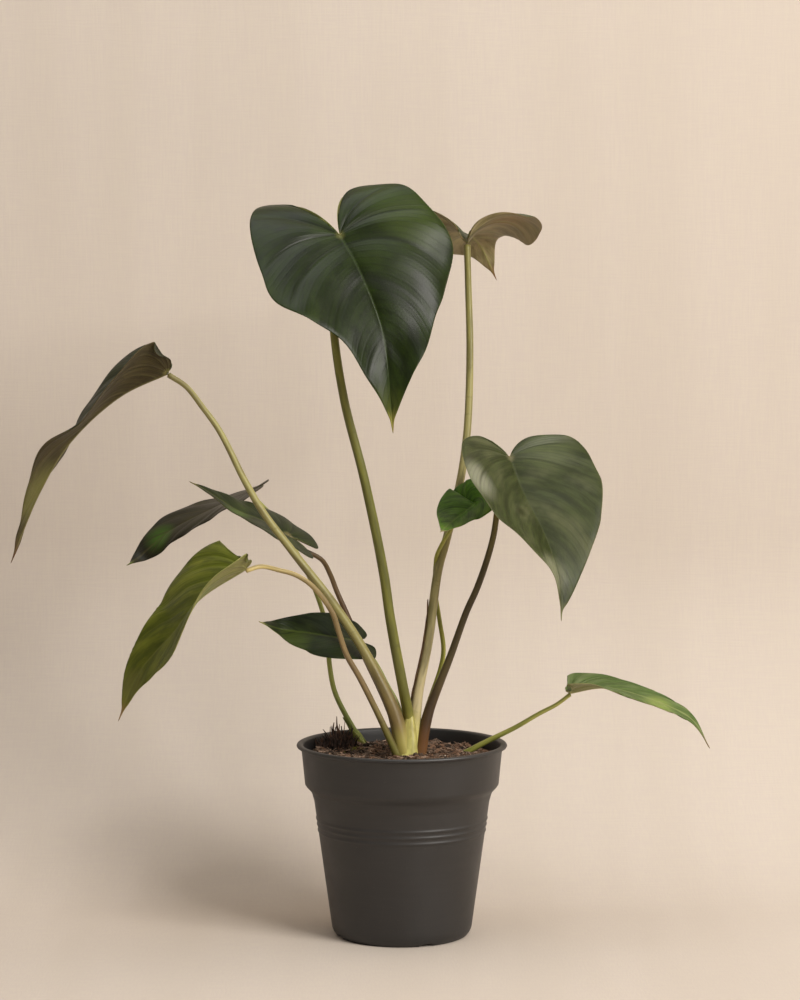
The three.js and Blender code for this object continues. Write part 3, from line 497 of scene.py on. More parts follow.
def bladeNormals(place, up, half):
    down, out = np.gradient(place, axis=0), np.gradient(place, axis=1)
    normal = unit(np.cross(out, down) if half else np.cross(down, out))
    normal = normal * (np.sign((normal * up).sum(-1, keepdims=True).mean()) or 1)
    # the two halves share the midrib, so its normals are the midrib's own
    normal[:, 0] = up[:, 0]
    normal[-1] = up[-1]
    normal[:, 1] = unit(normal[:, 2] + up[:, 1])
    return normal


def buildBlade(name, leaf, seed):
    midrib, length = smoothCurve(leaf["midrib"])
    outline, marginLength = halfOutline(leaf, length)
    rows = int(marginLength / lamina["marginStep"])
    columns = lamina["columns"]
    # t runs along the margin, and each row starts on the midrib, at the stalk for the first ones
    t = lamina["firstRow"] + (1 - lamina["firstRow"]) * np.arange(rows + 1) / rows
    late = np.clip((t - lamina["lastStalkRow"]) / (1 - lamina["lastStalkRow"]), 0, 1)
    start = (length * late ** lamina["rowCrowding"])[:, None]
    margin = outline(t * marginLength)
    # closer columns at the midrib, and one just inside the margin for its thin edge
    inside = lamina["edgeColumn"] * (np.arange(columns) / (columns - 1)) ** lamina["columnCrowding"]
    r = np.r_[inside, 1.0][None, :]
    bow = lamina["rowBow"] * np.minimum(1, t / 0.15) * np.minimum(1, (1 - t) / 0.2)
    bow = bow[:, None] * 2 * r * (1 - r)
    marginAlong, marginAcross = margin[:, :1], margin[:, 1:2]
    rise = marginAlong - start
    along = start + rise * r - bow * marginAcross
    across = marginAcross * r + bow * np.maximum(rise, -marginAcross)
    along[-1] = length
    # sunken veins with the lamina swelling between them, and a margin that waves a little
    wave = abs((t * leaf["veins"] + 0.5) % 1 - 0.5) * 2
    inner = np.sin(np.pi * np.clip(r * 1.02, 0, 1)) ** 0.6
    pleat = leaf["pleat"] * ((np.sin(np.pi / 2 * wave) - 0.62)[:, None]) * inner
    ends = np.clip((1 - t) / lamina["calmTip"], 0, 1)[:, None]
    atStalk = np.clip((t - t[0]) / lamina["endThinning"], 0, 1)[:, None]
    thick = 0.5 * lamina["thickness"] * np.clip((1 - r) / lamina["edgeThinning"], 0, 1) * atStalk
    ribShare = (1 - np.clip(along / length, 0, 1)) ** 0.7
    near = np.exp(-(across / lamina["ribWidth"]) ** 2) * (along >= -0.5)
    rib = lamina["ribHeight"] * leaf["radii"][1] / lamina["ribStalk"] * ribShare * near * atStalk
    groove = lamina["grooveDepth"] * np.exp(-(across / lamina["grooveWidth"]) ** 2) * ribShare
    veinRib = np.exp(-(wave / lamina["veinWidth"]) ** 2)[:, None] * np.sin(np.pi * r) ** 0.7
    veinRib = lamina["veinHeight"] * veinRib
    # for each half: the upper side, the under side, and the edge that they share
    layers = []
    for half in (0, 1):
        place, up = bladePoint(leaf, midrib, length, half, along, across)
        normal = bladeNormals(place, up, half)
        ripple = r ** 3 * np.sin(t * 38 + seed * 2 + half * 1.7)[:, None]
        ripple = leaf["wave"] * (ripple + 0.5 * r ** 2 * np.sin(t * 17 + seed + half * 2.3)[:, None])
        shift = (pleat + ripple) * ends
        offsets = (shift + thick - groove, shift - thick - rib - veinRib * ends, shift)
        layers.append([place + normal * offset[..., None] for offset in offsets])
    vertices, known = [], {}

    def vertex(layer, half, i, j):
        # the sides share the tip and the margin, and the halves share the midrib
        if i == rows:
            key, stack = "tip", 2
        elif j == 0:
            key, stack = (layer, float(start[i, 0])), layer
        else:
            stack = 2 if i == 0 or j == columns else layer
            key = (stack, half, i, j)
        if key not in known:
            known[key] = len(vertices)
            vertices.append(layers[half][stack][i, j])
        return known[key]

    faces, slots, placeVectors, flatVectors = [], [], [], []
    for layer in (0, 1):
        for half in (0, 1):
            sign = 1 if half else -1
            for i in range(rows):
                for j in range(columns):
                    corners = [(i, j), (i, j + 1), (i + 1, j + 1), (i + 1, j)]
                    if half != layer:
                        corners.reverse()
                    ids = [vertex(layer, half, *corner) for corner in corners]
                    kept = [k for k in range(4) if ids[k] != ids[k - 1]]
                    if len({ids[k] for k in kept}) < 3:
                        continue
                    faces.append([ids[k] for k in kept])
                    slots.append(layer)
                    for a, b in (corners[k] for k in kept):
                        runAt = t[a] if start[a, 0] > 0 or b > 0 else 0.5 * (t[i] + t[i + 1])
                        placeVectors.append((runAt + 0.013 * half, r[0, b], along[a, b] / length))
                        flatVectors.append((sign * across[a, b], along[a, b], seed * 11))
    skins = [leafSkin(f"leafUpper_{name}", leaf, "upper", seed),
             leafSkin(f"leafUnder_{name}", leaf, "under", seed + 0.5)]
    piece = newPiece(f"leaf_{name}", vertices, faces, skins, slots,
                     places={"bladePlace": placeVectors, "bladeFlat": flatVectors})
    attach(piece, "root")
    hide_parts(f"blade_{name}")


stalks = {
    "sides": 24, "step": 3.0, "ridge": 0.0175, "ridges": 5, "uneven": 0.02, "endRound": 0.45, "gap": 0.2,
    # how much wider the stalk is where it meets the blade, and within how many mm
    "swell": [0.12, 5],
    # how much wider the sheath at the foot is, and how far up it goes in mm
    "sheath": {"tall_front": [0.05, 30], "high_left": [0.55, 46], "tall_back": [0.35, 40],
               "right_front": [0.6, 46], "front_left": [0.15, 20], "middle_left": [0.2, 16],
               "small_middle": [0.2, 20], "low_left": [0.2, 20], "back_left": [0.45, 14],
               "low_right": [0.1, 10]},
    # looks: [around the stalk, per mm along it] for the lines and for the spots
    "lines": [4.5, 0.03], "spots": [1.1, 0.16],
}


def stalkSkin(name, leaf, seed):
    # fleshy leaf stalk: smooth wax skin with fine lengthwise lines, colour runs from foot to top
    material, tree, skin = newMaterial(name)
    place = addNode(tree, "Attribute", {"attribute_name": "stalkPlace"}).outputs["Vector"]
    share, turn, distance = addNode(tree, "SeparateXYZ", None, [place]).outputs[:3]
    noises = []
    for (around, along), shift, texture in ((stalks["lines"], 5.1, {"Detail": 3}),
                                            (stalks["spots"], 2.3, {"Detail": 5, "Roughness": 0.7})):
        across = addNode(tree, "Math", multiply, [turn, around])
        spot = addNode(tree, "CombineXYZ", None,
                       [across, addNode(tree, "Math", multiply, [distance, along]), seed * shift])
        noises.append(addNode(tree, "TexNoise", None, {"Vector": spot, "Scale": 1, **texture}))
    lines, spots = noises
    foot, middle, top = leaf["stalkColours"]
    layers = [(addNode(tree, "MapRange", smoothStep, [share, 0.02, 0.35, 0, 1]), middle),
              (addNode(tree, "MapRange", smoothStep, [share, 0.45, 0.95, 0, 1]), top),
              (addNode(tree, "MapRange", smoothStep, [lines, 0.38, 0.62, 0.55, 0]), leaf["stalkShade"]),
              (addNode(tree, "MapRange", smoothStep, [spots, 0.58, 0.72, 0, 0.4]), leaf["stalkShade"])]
    if "footTone" in leaf:
        # the stalk takes the crown's colour where it leaves it
        tone, low, high = leaf["footTone"]
        uneven = addNode(tree, "Math", multiplyAdd, [lines, 14, distance])
        layers.append((addNode(tree, "MapRange", smoothStep, [uneven, low, high, 1, 0]), tone))
    colour = foot
    for amount, hexColour in layers:
        colour = addNode(tree, "Mix", mixColour, {0: amount, 6: colour, 7: hexColour})
    connect(tree, skin, {
        "Base Color": colour, "IOR": 1.42,
        "Roughness": addNode(tree, "MapRange", smoothStep, [spots, 0.3, 0.7, 0.36, 0.52]),
        "Subsurface Weight": 0.1, "Subsurface Radius": (1.0, 0.9, 0.3), "Subsurface Scale": 0.001,
        "Normal": addNode(tree, "Bump", None, {"Strength": 0.4, "Distance": 0.0003, "Height": lines})})
    return material


def tube(at, length, radiusAt, shapeAt):
    # rings along a curve; gives vertices, faces and (share, turn, mm) for each face corner
    sides, rings = stalks["sides"], max(3, int(length / stalks["step"]))
    spots = np.linspace(0, length, rings + 1)
    points = at(spots)
    tangents = unit(np.gradient(points, axis=0))
    side = unit(np.cross(tangents[0], [0.0, 1.0, 0.02]))
    vertices = []
    for k in range(rings + 1):
        side = unit(side - tangents[k] * (side @ tangents[k]))
        other = np.cross(tangents[k], side)
        for m in range(sides):
            angle = 2 * math.pi * m / sides
            radius = radiusAt(spots[k]) * shapeAt(spots[k], angle)
            vertices.append(points[k] + radius * (math.cos(angle) * side + math.sin(angle) * other))
    faces, places = [], []
    for k in range(rings):
        for m in range(sides):
            n = (m + 1) % sides
            faces.append([k * sides + m, (k + 1) * sides + m, (k + 1) * sides + n, k * sides + n])
            for ring, spoke in ((k, m), (k + 1, m), (k + 1, m + 1), (k, m + 1)):
                places.append((spots[ring] / length, spoke / sides, spots[ring]))
    for ring, direction in ((0, -1), (rings, 1)):
        # a low rounded end
        centre = len(vertices)
        rise = direction * stalks["endRound"] * radiusAt(spots[ring])
        vertices.append(points[ring] + tangents[ring] * rise)
        for m in range(sides):
            pair = [ring * sides + m, ring * sides + (m + 1) % sides]
            faces.append([centre, *(pair if direction < 0 else reversed(pair))])
            places += [(spots[ring] / length, m / sides, spots[ring])] * 3
    return vertices, faces, places


def stalkRadius(name, distance, length):
    # tapering from foot to top, wider at the sheath
    foot, top = leaves[name]["radii"]
    wider, reach = stalks["sheath"][name]
    return (foot + (top - foot) * distance / length) * (1 + wider * math.exp(-(distance / reach) ** 2))


def buildStalk(name, leaf, seed):
    top = leaf["radii"][1]
    midrib, bladeLength = smoothCurve(leaf["midrib"])
    point, up, _ = bladeFrame(leaf, midrib, bladeLength, 0, np.array([0.0]))
    # the route ends just under the blade
    at, length = smoothCurve([*leaf["route"][:-1], list(point[0] - up[0] * (top + stalks["gap"]))])
    swell, swellReach = stalks["swell"]

    def radiusAt(distance):
        return stalkRadius(name, distance, length) * (1 + swell * math.exp(-(length - distance) / swellReach))

    def shapeAt(distance, angle):
        ridged = stalks["ridge"] * math.sin(angle * stalks["ridges"] + seed + distance * 0.004)
        return 1 + ridged + stalks["uneven"] * noise.noise(
            Vector((math.cos(angle) * 1.4, math.sin(angle) * 1.4, distance * 0.06 + seed * 7)))

    vertices, faces, places = tube(at, length, radiusAt, shapeAt)
    piece = newPiece(f"petiole_{name}", vertices, faces, [stalkSkin(f"stalkSkin_{name}", leaf, seed)],
                     places={"stalkPlace": places})
    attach(piece, "root")
    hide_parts(f"stalk_{name}")


for number, (name, leaf) in enumerate(leaves.items()):
    buildBlade(name, leaf, number + 1)
    buildStalk(name, leaf, number + 1)
print("leaves and stalks made")


# the pot's outline in (radius, height) from the middle of its underside, up the outside and down the inside
pot = {
    "sides": 144,
    "foot": [(20, 1.6), (39.6, 1.6), (41.2, 0.3), (42.6, 0), (45.6, 0), (47.2, 0.5), (48.8, 2.6), (50, 5.5)],
    "shoulder": [(62.5, 96), (64.1, 101.5), (64.7, 103.1), (65.8, 104.2), (68.1, 106.7), (69, 108),
                 (69.25, 109.7)],
    "collar": [(69, 107.5), (71.6, 133.6)],
    "lip": [(71.6, 133.2), (72, 134.1), (73.6, 134.3), (74.6, 134.7), (75, 135.5), (74.7, 136.4),
            (73.9, 136.9), (73, 137), (71.4, 136.8), (70.5, 136.2), (70.2, 135.2)],
    "inside": [(69.9, 131), (68.6, 112), (67.7, 108.2), (64, 103), (61.2, 96), (48.9, 7), (46.5, 3.4),
               (44, 2.6), (20, 2.4)],
    "rings": [75, 79.3, 83.6], "ringSwell": 0.55, "ringWidth": 0.992,
    "channels": 4, "firstChannel": -68, "channelStart": 26, "channelHalf": 4.3,
    "channelEdge": 1.6, "channelDepth": 1.7, "channelTop": 2.0,
    # looks, in mm
    "hazeSize": 38.4615, "lineSize": [55.5556, 55.5556, 3.33333], "dustSize": 1.11111,
}


def potSkin():
    # thermoformed polypropylene with carbon black: dull charcoal skin, faint forming haze, fine specks of
    # dust
    material, tree, skin = newMaterial("polypropyleneThermoformedCharcoal")
    spot = addNode(tree, "TexCoord").outputs["Object"]
    haze = addNode(tree, "TexNoise", None,
                   {"Vector": spot, "Scale": perMetre(pot["hazeSize"]), "Detail": 4, "Roughness": 0.6})
    stretched = addNode(tree, "Mapping", None, {"Vector": spot, "Scale": perMetre(*pot["lineSize"])})
    lines = addNode(tree, "TexNoise", None, {"Vector": stretched, "Scale": 1, "Detail": 3})
    dust = addNode(tree, "TexNoise", None, {"Vector": spot, "Scale": perMetre(pot["dustSize"]), "Detail": 2})
    colour = "#110f0e"
    for amount, hexColour in (
            (addNode(tree, "MapRange", smoothStep, [haze, 0.3, 0.7, 0, 1]), "#181615"),
            (addNode(tree, "MapRange", smoothStep, [lines, 0.4, 0.75, 0, 0.3]), "#1e1b1a"),
            (addNode(tree, "MapRange", smoothStep, [dust, 0.68, 0.78, 0, 0.3]), "#544d47")):
        colour = addNode(tree, "Mix", mixColour, {0: amount, 6: colour, 7: hexColour})
    height = addNode(tree, "Math", multiplyAdd, [dust, 0.4, lines])
    connect(tree, skin, {
        "Base Color": colour, "IOR": 1.49, "Specular IOR Level": 0.75,
        "Roughness": addNode(tree, "MapRange", smoothStep, [haze, 0.3, 0.7, 0.44, 0.56]),
        "Normal": addNode(tree, "Bump", None, {"Strength": 0.35, "Distance": 0.0002, "Height": height})})
    return material


def potProfile():
    wall, collar = [], []
    # closer steps over the moulded rings
    wallRadii, wallHeights = zip(pot["foot"][-1], pot["shoulder"][0])
    for z in [*np.arange(9, 72, 2.0), *np.arange(71.5, 87.5, 0.5), *np.arange(89, 96, 2.0)]:
        radius = np.interp(z, wallHeights, wallRadii)
        swell = sum(math.exp(-((z - ring) / pot["ringWidth"]) ** 2) for ring in pot["rings"])
        wall.append((float(radius + pot["ringSwell"] * swell), float(z)))
    collarRadii, collarHeights = zip(*pot["collar"])
    for z in np.arange(113, 133, 4.0):
        collar.append((float(np.interp(z, collarHeights, collarRadii)), float(z)))
    return pot["foot"] + wall + pot["shoulder"] + collar + pot["lip"] + pot["inside"]


def channelLift(x, y):
    # how far a drain channel under the foot lifts it here
    lift = 0.0
    for c in range(pot["channels"]):
        turn = math.radians(pot["firstChannel"] + 360 / pot["channels"] * c)
        aside = -x * math.sin(turn) + y * math.cos(turn)
        ahead = x * math.cos(turn) + y * math.sin(turn)
        if ahead > 0:
            edge = min(1.0, max(0.0, (pot["channelHalf"] - abs(aside)) / pot["channelEdge"] + 0.5))
            lift = max(lift, pot["channelDepth"] * edge)
    return lift


def buildPot():
    profile, sides = potProfile(), pot["sides"]
    vertices = []
    for radius, z in profile:
        for k in range(sides):
            angle = 2 * math.pi * k / sides
            x, y = radius * math.cos(angle), radius * math.sin(angle)
            cut = z < pot["channelTop"] and radius > pot["channelStart"]
            vertices.append((x, y, max(z, channelLift(x, y)) if cut else z))
    faces = ringFaces(len(profile) - 1, sides)
    # close the floor with a disc on each side
    for row, flip in ((0, True), (len(profile) - 1, False)):
        centre = len(vertices)
        vertices.append((0, 0, profile[row][1]))
        for k in range(sides):
            pair = [row * sides + k, row * sides + (k + 1) % sides]
            faces.append([centre, *(reversed(pair) if flip else pair)])
    piece = newPiece("nurseryPot", vertices, faces, [potSkin()])
    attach(piece, "root")
    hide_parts("pot")


buildPot()
print("pot made")


soil = {
    "level": 127.0, "radius": 69.3, "seed": 41, "rings": 46, "sides": 150, "patchSize": 11.11111,
    "swells": [[0.06, 3.1, 2.4], [0.21, 7.7, 0.9], [0.6, 1.3, 0.5]], "mound": 1.8, "moundSpread": 500,
    # the mix inside the pot, in (radius, height)
    "below": [(68.2, 112), (67.3, 108.6), (63.5, 103.6), (60.7, 96), (48.5, 7.4), (43, 3)],
    "crumbs": 2300, "crumbSize": [0.6, 2.4], "chips": 420, "chipSize": [2.5, 7.0], "fibres": 900,
    "fibreLength": [3, 9], "fibreRadius": [0.18, 0.42], "grains": 120, "grainSize": [0.4, 0.9],
    "moss": 60, "mossSize": [0.4, 1.1], "mossAt": [-34, 26], "clearing": 9, "middle": 3,
    # dark and light colour, and grain in mm
    "surface": ["peatCrumbled", "#1e1712", "#43362b", 1.6],
    "mix": [["peatCrumbsDark", "#211914", "#43362b", 0.8], ["barkCompostedBrown", "#382c23", "#6c594a", 0.9],
            ["barkCompostedRed", "#432f24", "#84664f", 1.2], ["barkFibreTan", "#6c5746", "#ad9380", 1.0],
            ["perliteExpandedGrey", "#8d8074", "#c9beb0", 0.8], ["mossFresh", "#4c4a18", "#86803a", 0.7]],
}


def groundLevel(x, y):
    z = soil["level"] + soil["mound"] * math.exp(-((x - soil["middle"]) ** 2 + y ** 2) / soil["moundSpread"])
    for pitch, layer, height in soil["swells"]:
        z += height * noise.noise(Vector((x * pitch, y * pitch, layer)))
    return z


def soilSkin(name, dark, light, grainSize):
    # crumbled peat and composted bark: matte, fibrous, mixed browns
    material, tree, skin = newMaterial(name)
    spot = addNode(tree, "TexCoord").outputs["Object"]
    grain = addNode(tree, "TexNoise", None,
                    {"Vector": spot, "Scale": perMetre(grainSize), "Detail": 6, "Roughness": 0.7})
    patch = addNode(tree, "TexNoise", None,
                    {"Vector": spot, "Scale": perMetre(soil["patchSize"]), "Detail": 2})
    colour = dark
    for amount, hexColour in ((addNode(tree, "MapRange", smoothStep, [grain, 0.35, 0.68, 0, 1]), light),
                              (addNode(tree, "MapRange", smoothStep, [patch, 0.45, 0.65, 0, 0.5]), dark)):
        colour = addNode(tree, "Mix", mixColour, {0: amount, 6: colour, 7: hexColour})
    connect(tree, skin, {
        "Base Color": colour, "Roughness": 0.9, "Specular IOR Level": 0.25,
        "Normal": addNode(tree, "Bump", None, {"Strength": 0.8, "Distance": 0.0006, "Height": grain})})
    return material


def buildGround():
    sides, rings = soil["sides"], soil["rings"]
    circle = [(math.cos(2 * math.pi * k / sides), math.sin(2 * math.pi * k / sides)) for k in range(sides)]
    vertices = [(0, 0, groundLevel(0, 0))]
    for ring in range(1, rings + 1):
        radius = soil["radius"] * ring / rings
        vertices += [(radius * x, radius * y, groundLevel(radius * x, radius * y)) for x, y in circle]
    # the mix goes down to the pot's floor, just inside its wall
    for radius, z in soil["below"]:
        vertices += [(radius * x, radius * y, z) for x, y in circle]
    faces = [[0, 1 + k, 1 + (k + 1) % sides] for k in range(sides)]
    # these rings run outwards and then down, so their quads are turned over
    faces += [[a, d, c, b] for a, b, c, d in ringFaces(rings - 1 + len(soil["below"]), sides, 1)]
    faces.append(list(range(len(vertices) - sides, len(vertices)))[::-1])
    ground = newPiece("pottingMix", vertices, faces, [soilSkin(*soil["surface"])])
    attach(ground, "root")
    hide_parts("soil")


def buildCrumbs():
    rng = random.Random(soil["seed"])
    unitBall = [(0, 0, 1), (0.89, 0, 0.45), (0.28, 0.85, 0.45), (-0.72, 0.53, 0.45), (-0.72, -0.53, 0.45),
                (0.28, -0.85, 0.45), (0.72, 0.53, -0.45), (-0.28, 0.85, -0.45), (-0.89, 0, -0.45),
                (-0.28, -0.85, -0.45), (0.72, -0.53, -0.45), (0, 0, -1)]
    ballFaces = [(0, 1, 2), (0, 2, 3), (0, 3, 4), (0, 4, 5), (0, 5, 1), (1, 6, 2), (2, 7, 3), (3, 8, 4),
                 (4, 9, 5), (5, 10, 1), (6, 7, 2), (7, 8, 3), (8, 9, 4), (9, 10, 5), (10, 6, 1), (11, 7, 6),
                 (11, 8, 7), (11, 9, 8), (11, 10, 9), (11, 6, 10)]
    vertices, faces, slots = [], [], []

    def spread(limit=67.0):
        # a place on the soil outside the crown's foot
        while True:
            x, y = rng.uniform(-limit, limit), rng.uniform(-limit, limit)
            if math.hypot(x, y) < limit and math.hypot(x - soil["middle"], y) > soil["clearing"]:
                return x, y

    def lump(x, y, z, sx, sy, sz, slot, rough=0.35):
        turn, lean = rng.uniform(0, 2 * math.pi), rng.uniform(-0.5, 0.5)
        c, s, cl, sl = math.cos(turn), math.sin(turn), math.cos(lean), math.sin(lean)
        start = len(vertices)
        for u, v, w in unitBall:
            k = 1 + rng.uniform(-rough, rough)
            u, v, w = u * sx * k, v * sy * k, w * sz * k
            u, w = u * cl + w * sl, -u * sl + w * cl
            vertices.append((x + u * c - v * s, y + u * s + v * c, z + w))
        for face in ballFaces:
            faces.append([start + q for q in face])
            slots.append(slot)

    def fibre(x, y):
        # short bark fibre: a bent three-sided strip
        long, thick = rng.uniform(*soil["fibreLength"]), rng.uniform(*soil["fibreRadius"])
        turn, rise = rng.uniform(0, 2 * math.pi), rng.uniform(-0.1, 0.55)
        bend, start, spans, sides = rng.uniform(-0.5, 0.5), len(vertices), 3, 3
        for k in range(spans + 1):
            u = k / spans - 0.5
            px = x + long * u * math.cos(turn) - bend * long * u * u * math.sin(turn)
            py = y + long * u * math.sin(turn) + bend * long * u * u * math.cos(turn)
            pz = groundLevel(x, y) + 0.7 + long * rise * (u + 0.35)
            width = thick * (1 - abs(u) * 0.9)
            for q in range(sides):
                a = 2 * math.pi * q / sides
                aside = width * math.cos(a)
                vertices.append((px - math.sin(turn) * aside, py + math.cos(turn) * aside,
                                 pz + width * math.sin(a)))
        last = start + spans * sides
        made = [*ringFaces(spans, sides, start), [start, start + 2, start + 1], [last, last + 1, last + 2]]
        faces.extend(made)
        slots.extend([rng.choice((1, 2, 3, 3))] * len(made))

    for _ in range(soil["crumbs"]):
        x, y = spread()
        size = rng.uniform(*soil["crumbSize"])
        lump(x, y, groundLevel(x, y) + size * 0.2, size, size * rng.uniform(0.6, 1),
             size * rng.uniform(0.5, 0.9), rng.choice((0, 0, 1, 1, 2)))
    for _ in range(soil["chips"]):
        x, y = spread(64)
        size = rng.uniform(*soil["chipSize"])
        lump(x, y, groundLevel(x, y) + 0.8, size, size * rng.uniform(0.25, 0.5),
             size * rng.uniform(0.12, 0.25), rng.choice((1, 2, 2, 3)), 0.2)
    for _ in range(soil["grains"]):
        x, y = spread()
        size = rng.uniform(*soil["grainSize"])
        lump(x, y, groundLevel(x, y) + 0.9, size, size, size * 0.7, 4, 0.15)
    for _ in range(soil["moss"]):
        # moss bits beside the dried stalk ends
        x, y = rng.gauss(soil["mossAt"][0], 3.5), rng.gauss(soil["mossAt"][1], 4)
        size = rng.uniform(*soil["mossSize"])
        lump(x, y, groundLevel(x, y) + 1.2, size, size, size * 0.8, 5, 0.3)
    for _ in range(soil["fibres"]):
        fibre(*spread(66))
    skins = [soilSkin(*values) for values in soil["mix"]]
    crumbs = newPiece("barkCrumbs", vertices, faces, skins, slots, smooth=False)
    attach(crumbs, "root")


buildGround()
buildCrumbs()
print("soil made")


# the short stem that the sheaths clasp; outline in [height, radius]
crown = {
    "x": 4.2, "y": -6.0, "leanX": 2.0, "leanY": 4.0, "seed": 0.6, "sides": 48, "rows": 26,
    "outline": [[114, 9.2], [124, 8], [130, 7.4], [138, 6.6], [146, 5.4], [153, 3.9], [160, 2.2], [163, 0.9]],
    # looks, in mm: the heights between which the colour changes, and the streaks' and patches' sizes
    "fade": [128, 150], "streakSize": [1.923077, 1.923077, 22.22222], "patchSize": 6.25,
    "skin": ["crownSkinLiving", "#cdc773", "#b1a95c", "#8d8347"],
}


def crownSkin(name, low, high, shade):
    # fleshy stem skin: waxy yellow-green, streaked lengthwise, corky brown where old sheaths dried
    material, tree, skin = newMaterial(name)
    spot = addNode(tree, "TexCoord").outputs["Object"]
    z = addNode(tree, "SeparateXYZ", None, [spot]).outputs[2]
    stretched = addNode(tree, "Mapping", None, {"Vector": spot, "Scale": perMetre(*crown["streakSize"])})
    streak = addNode(tree, "TexNoise", None, {"Vector": stretched, "Scale": 1, "Detail": 4})
    patch = addNode(tree, "TexNoise", None,
                    {"Vector": spot, "Scale": perMetre(crown["patchSize"]), "Detail": 3})
    fade = [height * mm for height in crown["fade"]]
    colour = low
    for amount, hexColour in ((addNode(tree, "MapRange", smoothStep, [z, *fade, 0, 1]), high),
                              (addNode(tree, "MapRange", smoothStep, [streak, 0.42, 0.66, 0.5, 0]), shade),
                              (addNode(tree, "MapRange", smoothStep, [patch, 0.5, 0.7, 0, 0.35]), shade)):
        colour = addNode(tree, "Mix", mixColour, {0: amount, 6: colour, 7: hexColour})
    connect(tree, skin, {
        "Base Color": colour,
        "Roughness": addNode(tree, "MapRange", smoothStep, [patch, 0.3, 0.7, 0.38, 0.55]),
        "Subsurface Weight": 0.15, "Subsurface Radius": (1.0, 0.9, 0.3), "Subsurface Scale": 0.0015,
        "Normal": addNode(tree, "Bump", None, {"Strength": 0.5, "Distance": 0.0004, "Height": streak})})
    return material


def buildCrown():
    c, sides, rows = crown, crown["sides"], crown["rows"]
    heights, radii = zip(*c["outline"])
    vertices = []
    for i in range(rows + 1):
        u = i / rows
        z = heights[0] + (heights[-1] - heights[0]) * u
        radius = float(np.interp(z, heights, radii))
        x, y = c["x"] + c["leanX"] * u ** 2, c["y"] + c["leanY"] * u ** 2
        for k in range(sides):
            angle = 2 * math.pi * k / sides
            # ribs where the sheaths lie against each other
            ribbed = 1 + 0.06 * math.cos(angle * 4 + c["seed"] + z * 0.02) + 0.03 * noise.noise(
                Vector((math.cos(angle) * 2, math.sin(angle) * 2, z * 0.12)))
            vertices.append((x + radius * ribbed * math.cos(angle), y + radius * ribbed * math.sin(angle), z))
    ring = list(range(sides))
    faces = [*ringFaces(rows, sides), ring[::-1], [rows * sides + k for k in ring]]
    piece = newPiece("crownStem", vertices, faces, [crownSkin(*c["skin"])])
    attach(piece, "root")
    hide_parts("crown")


buildCrown()
print("crown made")


# dried stalk ends in the soil: a taller bunch with a few spikes, and a low one beside it
dried = {
    "y": 31, "seed": 9, "strands": 330, "spikes": 9, "segments": 5, "sides": 5, "thick": [0.4, 1.7],
    "x": -45.5, "reach": 9.5, "height": [5, 19], "spikeHeight": [21, 27],
    "low": 130, "lowX": -53, "lowReach": 9, "lowHeight": [2, 9],
    "skins": [["stalkFibreDead", "#1b120d", "#3d2a1f"], ["stalkFibreRust", "#3b2618", "#5f4230"]],
    "streakSize": [1.11111, 1.11111, 8.33333],
}


def dryPlantSkin(name, dark, light):
    # dead stalk fibre: matte, split lengthwise, grey-brown to rust
    material, tree, skin = newMaterial(name)
    spot = addNode(tree, "TexCoord").outputs["Object"]
    stretched = addNode(tree, "Mapping", None, {"Vector": spot, "Scale": perMetre(*dried["streakSize"])})
    streak = addNode(tree, "TexNoise", None, {"Vector": stretched, "Scale": 1, "Detail": 4})
    amount = addNode(tree, "MapRange", smoothStep, [streak, 0.35, 0.66, 0, 1])
    connect(tree, skin, {
        "Base Color": addNode(tree, "Mix", mixColour, {0: amount, 6: dark, 7: light}), "Roughness": 0.85,
        "Normal": addNode(tree, "Bump", None, {"Strength": 0.6, "Distance": 0.0004, "Height": streak})})
    return material


def buildDried():
    d = dried
    rng = random.Random(d["seed"])
    segments, sides = d["segments"], d["sides"]
    vertices, faces, slots = [], [], []
    for number in range(d["strands"]):
        low = number >= d["strands"] - d["low"]
        reach, centre = (d["lowReach"], d["lowX"]) if low else (d["reach"], d["x"])
        angle, away = rng.uniform(0, 2 * math.pi), reach * rng.random() ** 0.7
        x, y = centre + away * math.cos(angle), d["y"] + 0.7 * away * math.sin(angle)
        height = rng.uniform(*d["lowHeight"]) if low else rng.uniform(*d["height"]) * (1 - 0.5 * away / reach)
        lean = rng.uniform(-0.9, 0.9)
        if number < d["spikes"]:
            height, lean = rng.uniform(*d["spikeHeight"]) * (1 - 0.3 * away / reach), rng.uniform(-0.2, 0.2)
        tilt, thick, start = rng.uniform(0, 2 * math.pi), rng.uniform(*d["thick"]), len(vertices)
        for k in range(segments + 1):
            u = k / segments
            px = x + lean * height * u * math.cos(tilt) + rng.uniform(-0.6, 0.6)
            py = y + lean * height * u * math.sin(tilt) + rng.uniform(-0.6, 0.6)
            # each strand starts 2 mm down in the soil
            pz = groundLevel(x, y) - 2 + (height + 2) * u
            width = thick * (1.1 - 0.85 * u ** 1.5)
            for q in range(sides):
                a = 2 * math.pi * q / sides
                vertices.append((px + width * math.cos(a), py + 0.55 * width * math.sin(a), pz))
        caps = [[start + q for q in range(sides)][::-1], [start + segments * sides + q for q in range(sides)]]
        made = ringFaces(segments, sides, start) + caps
        faces += made
        slots += [rng.choice((0, 0, 0, 1))] * len(made)
    skins = [dryPlantSkin(*skin) for skin in d["skins"]]
    piece = newPiece("driedStalkEnds", vertices, faces, skins, slots, smooth=False)
    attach(piece, "root")
    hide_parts("dried_stubs")


buildDried()

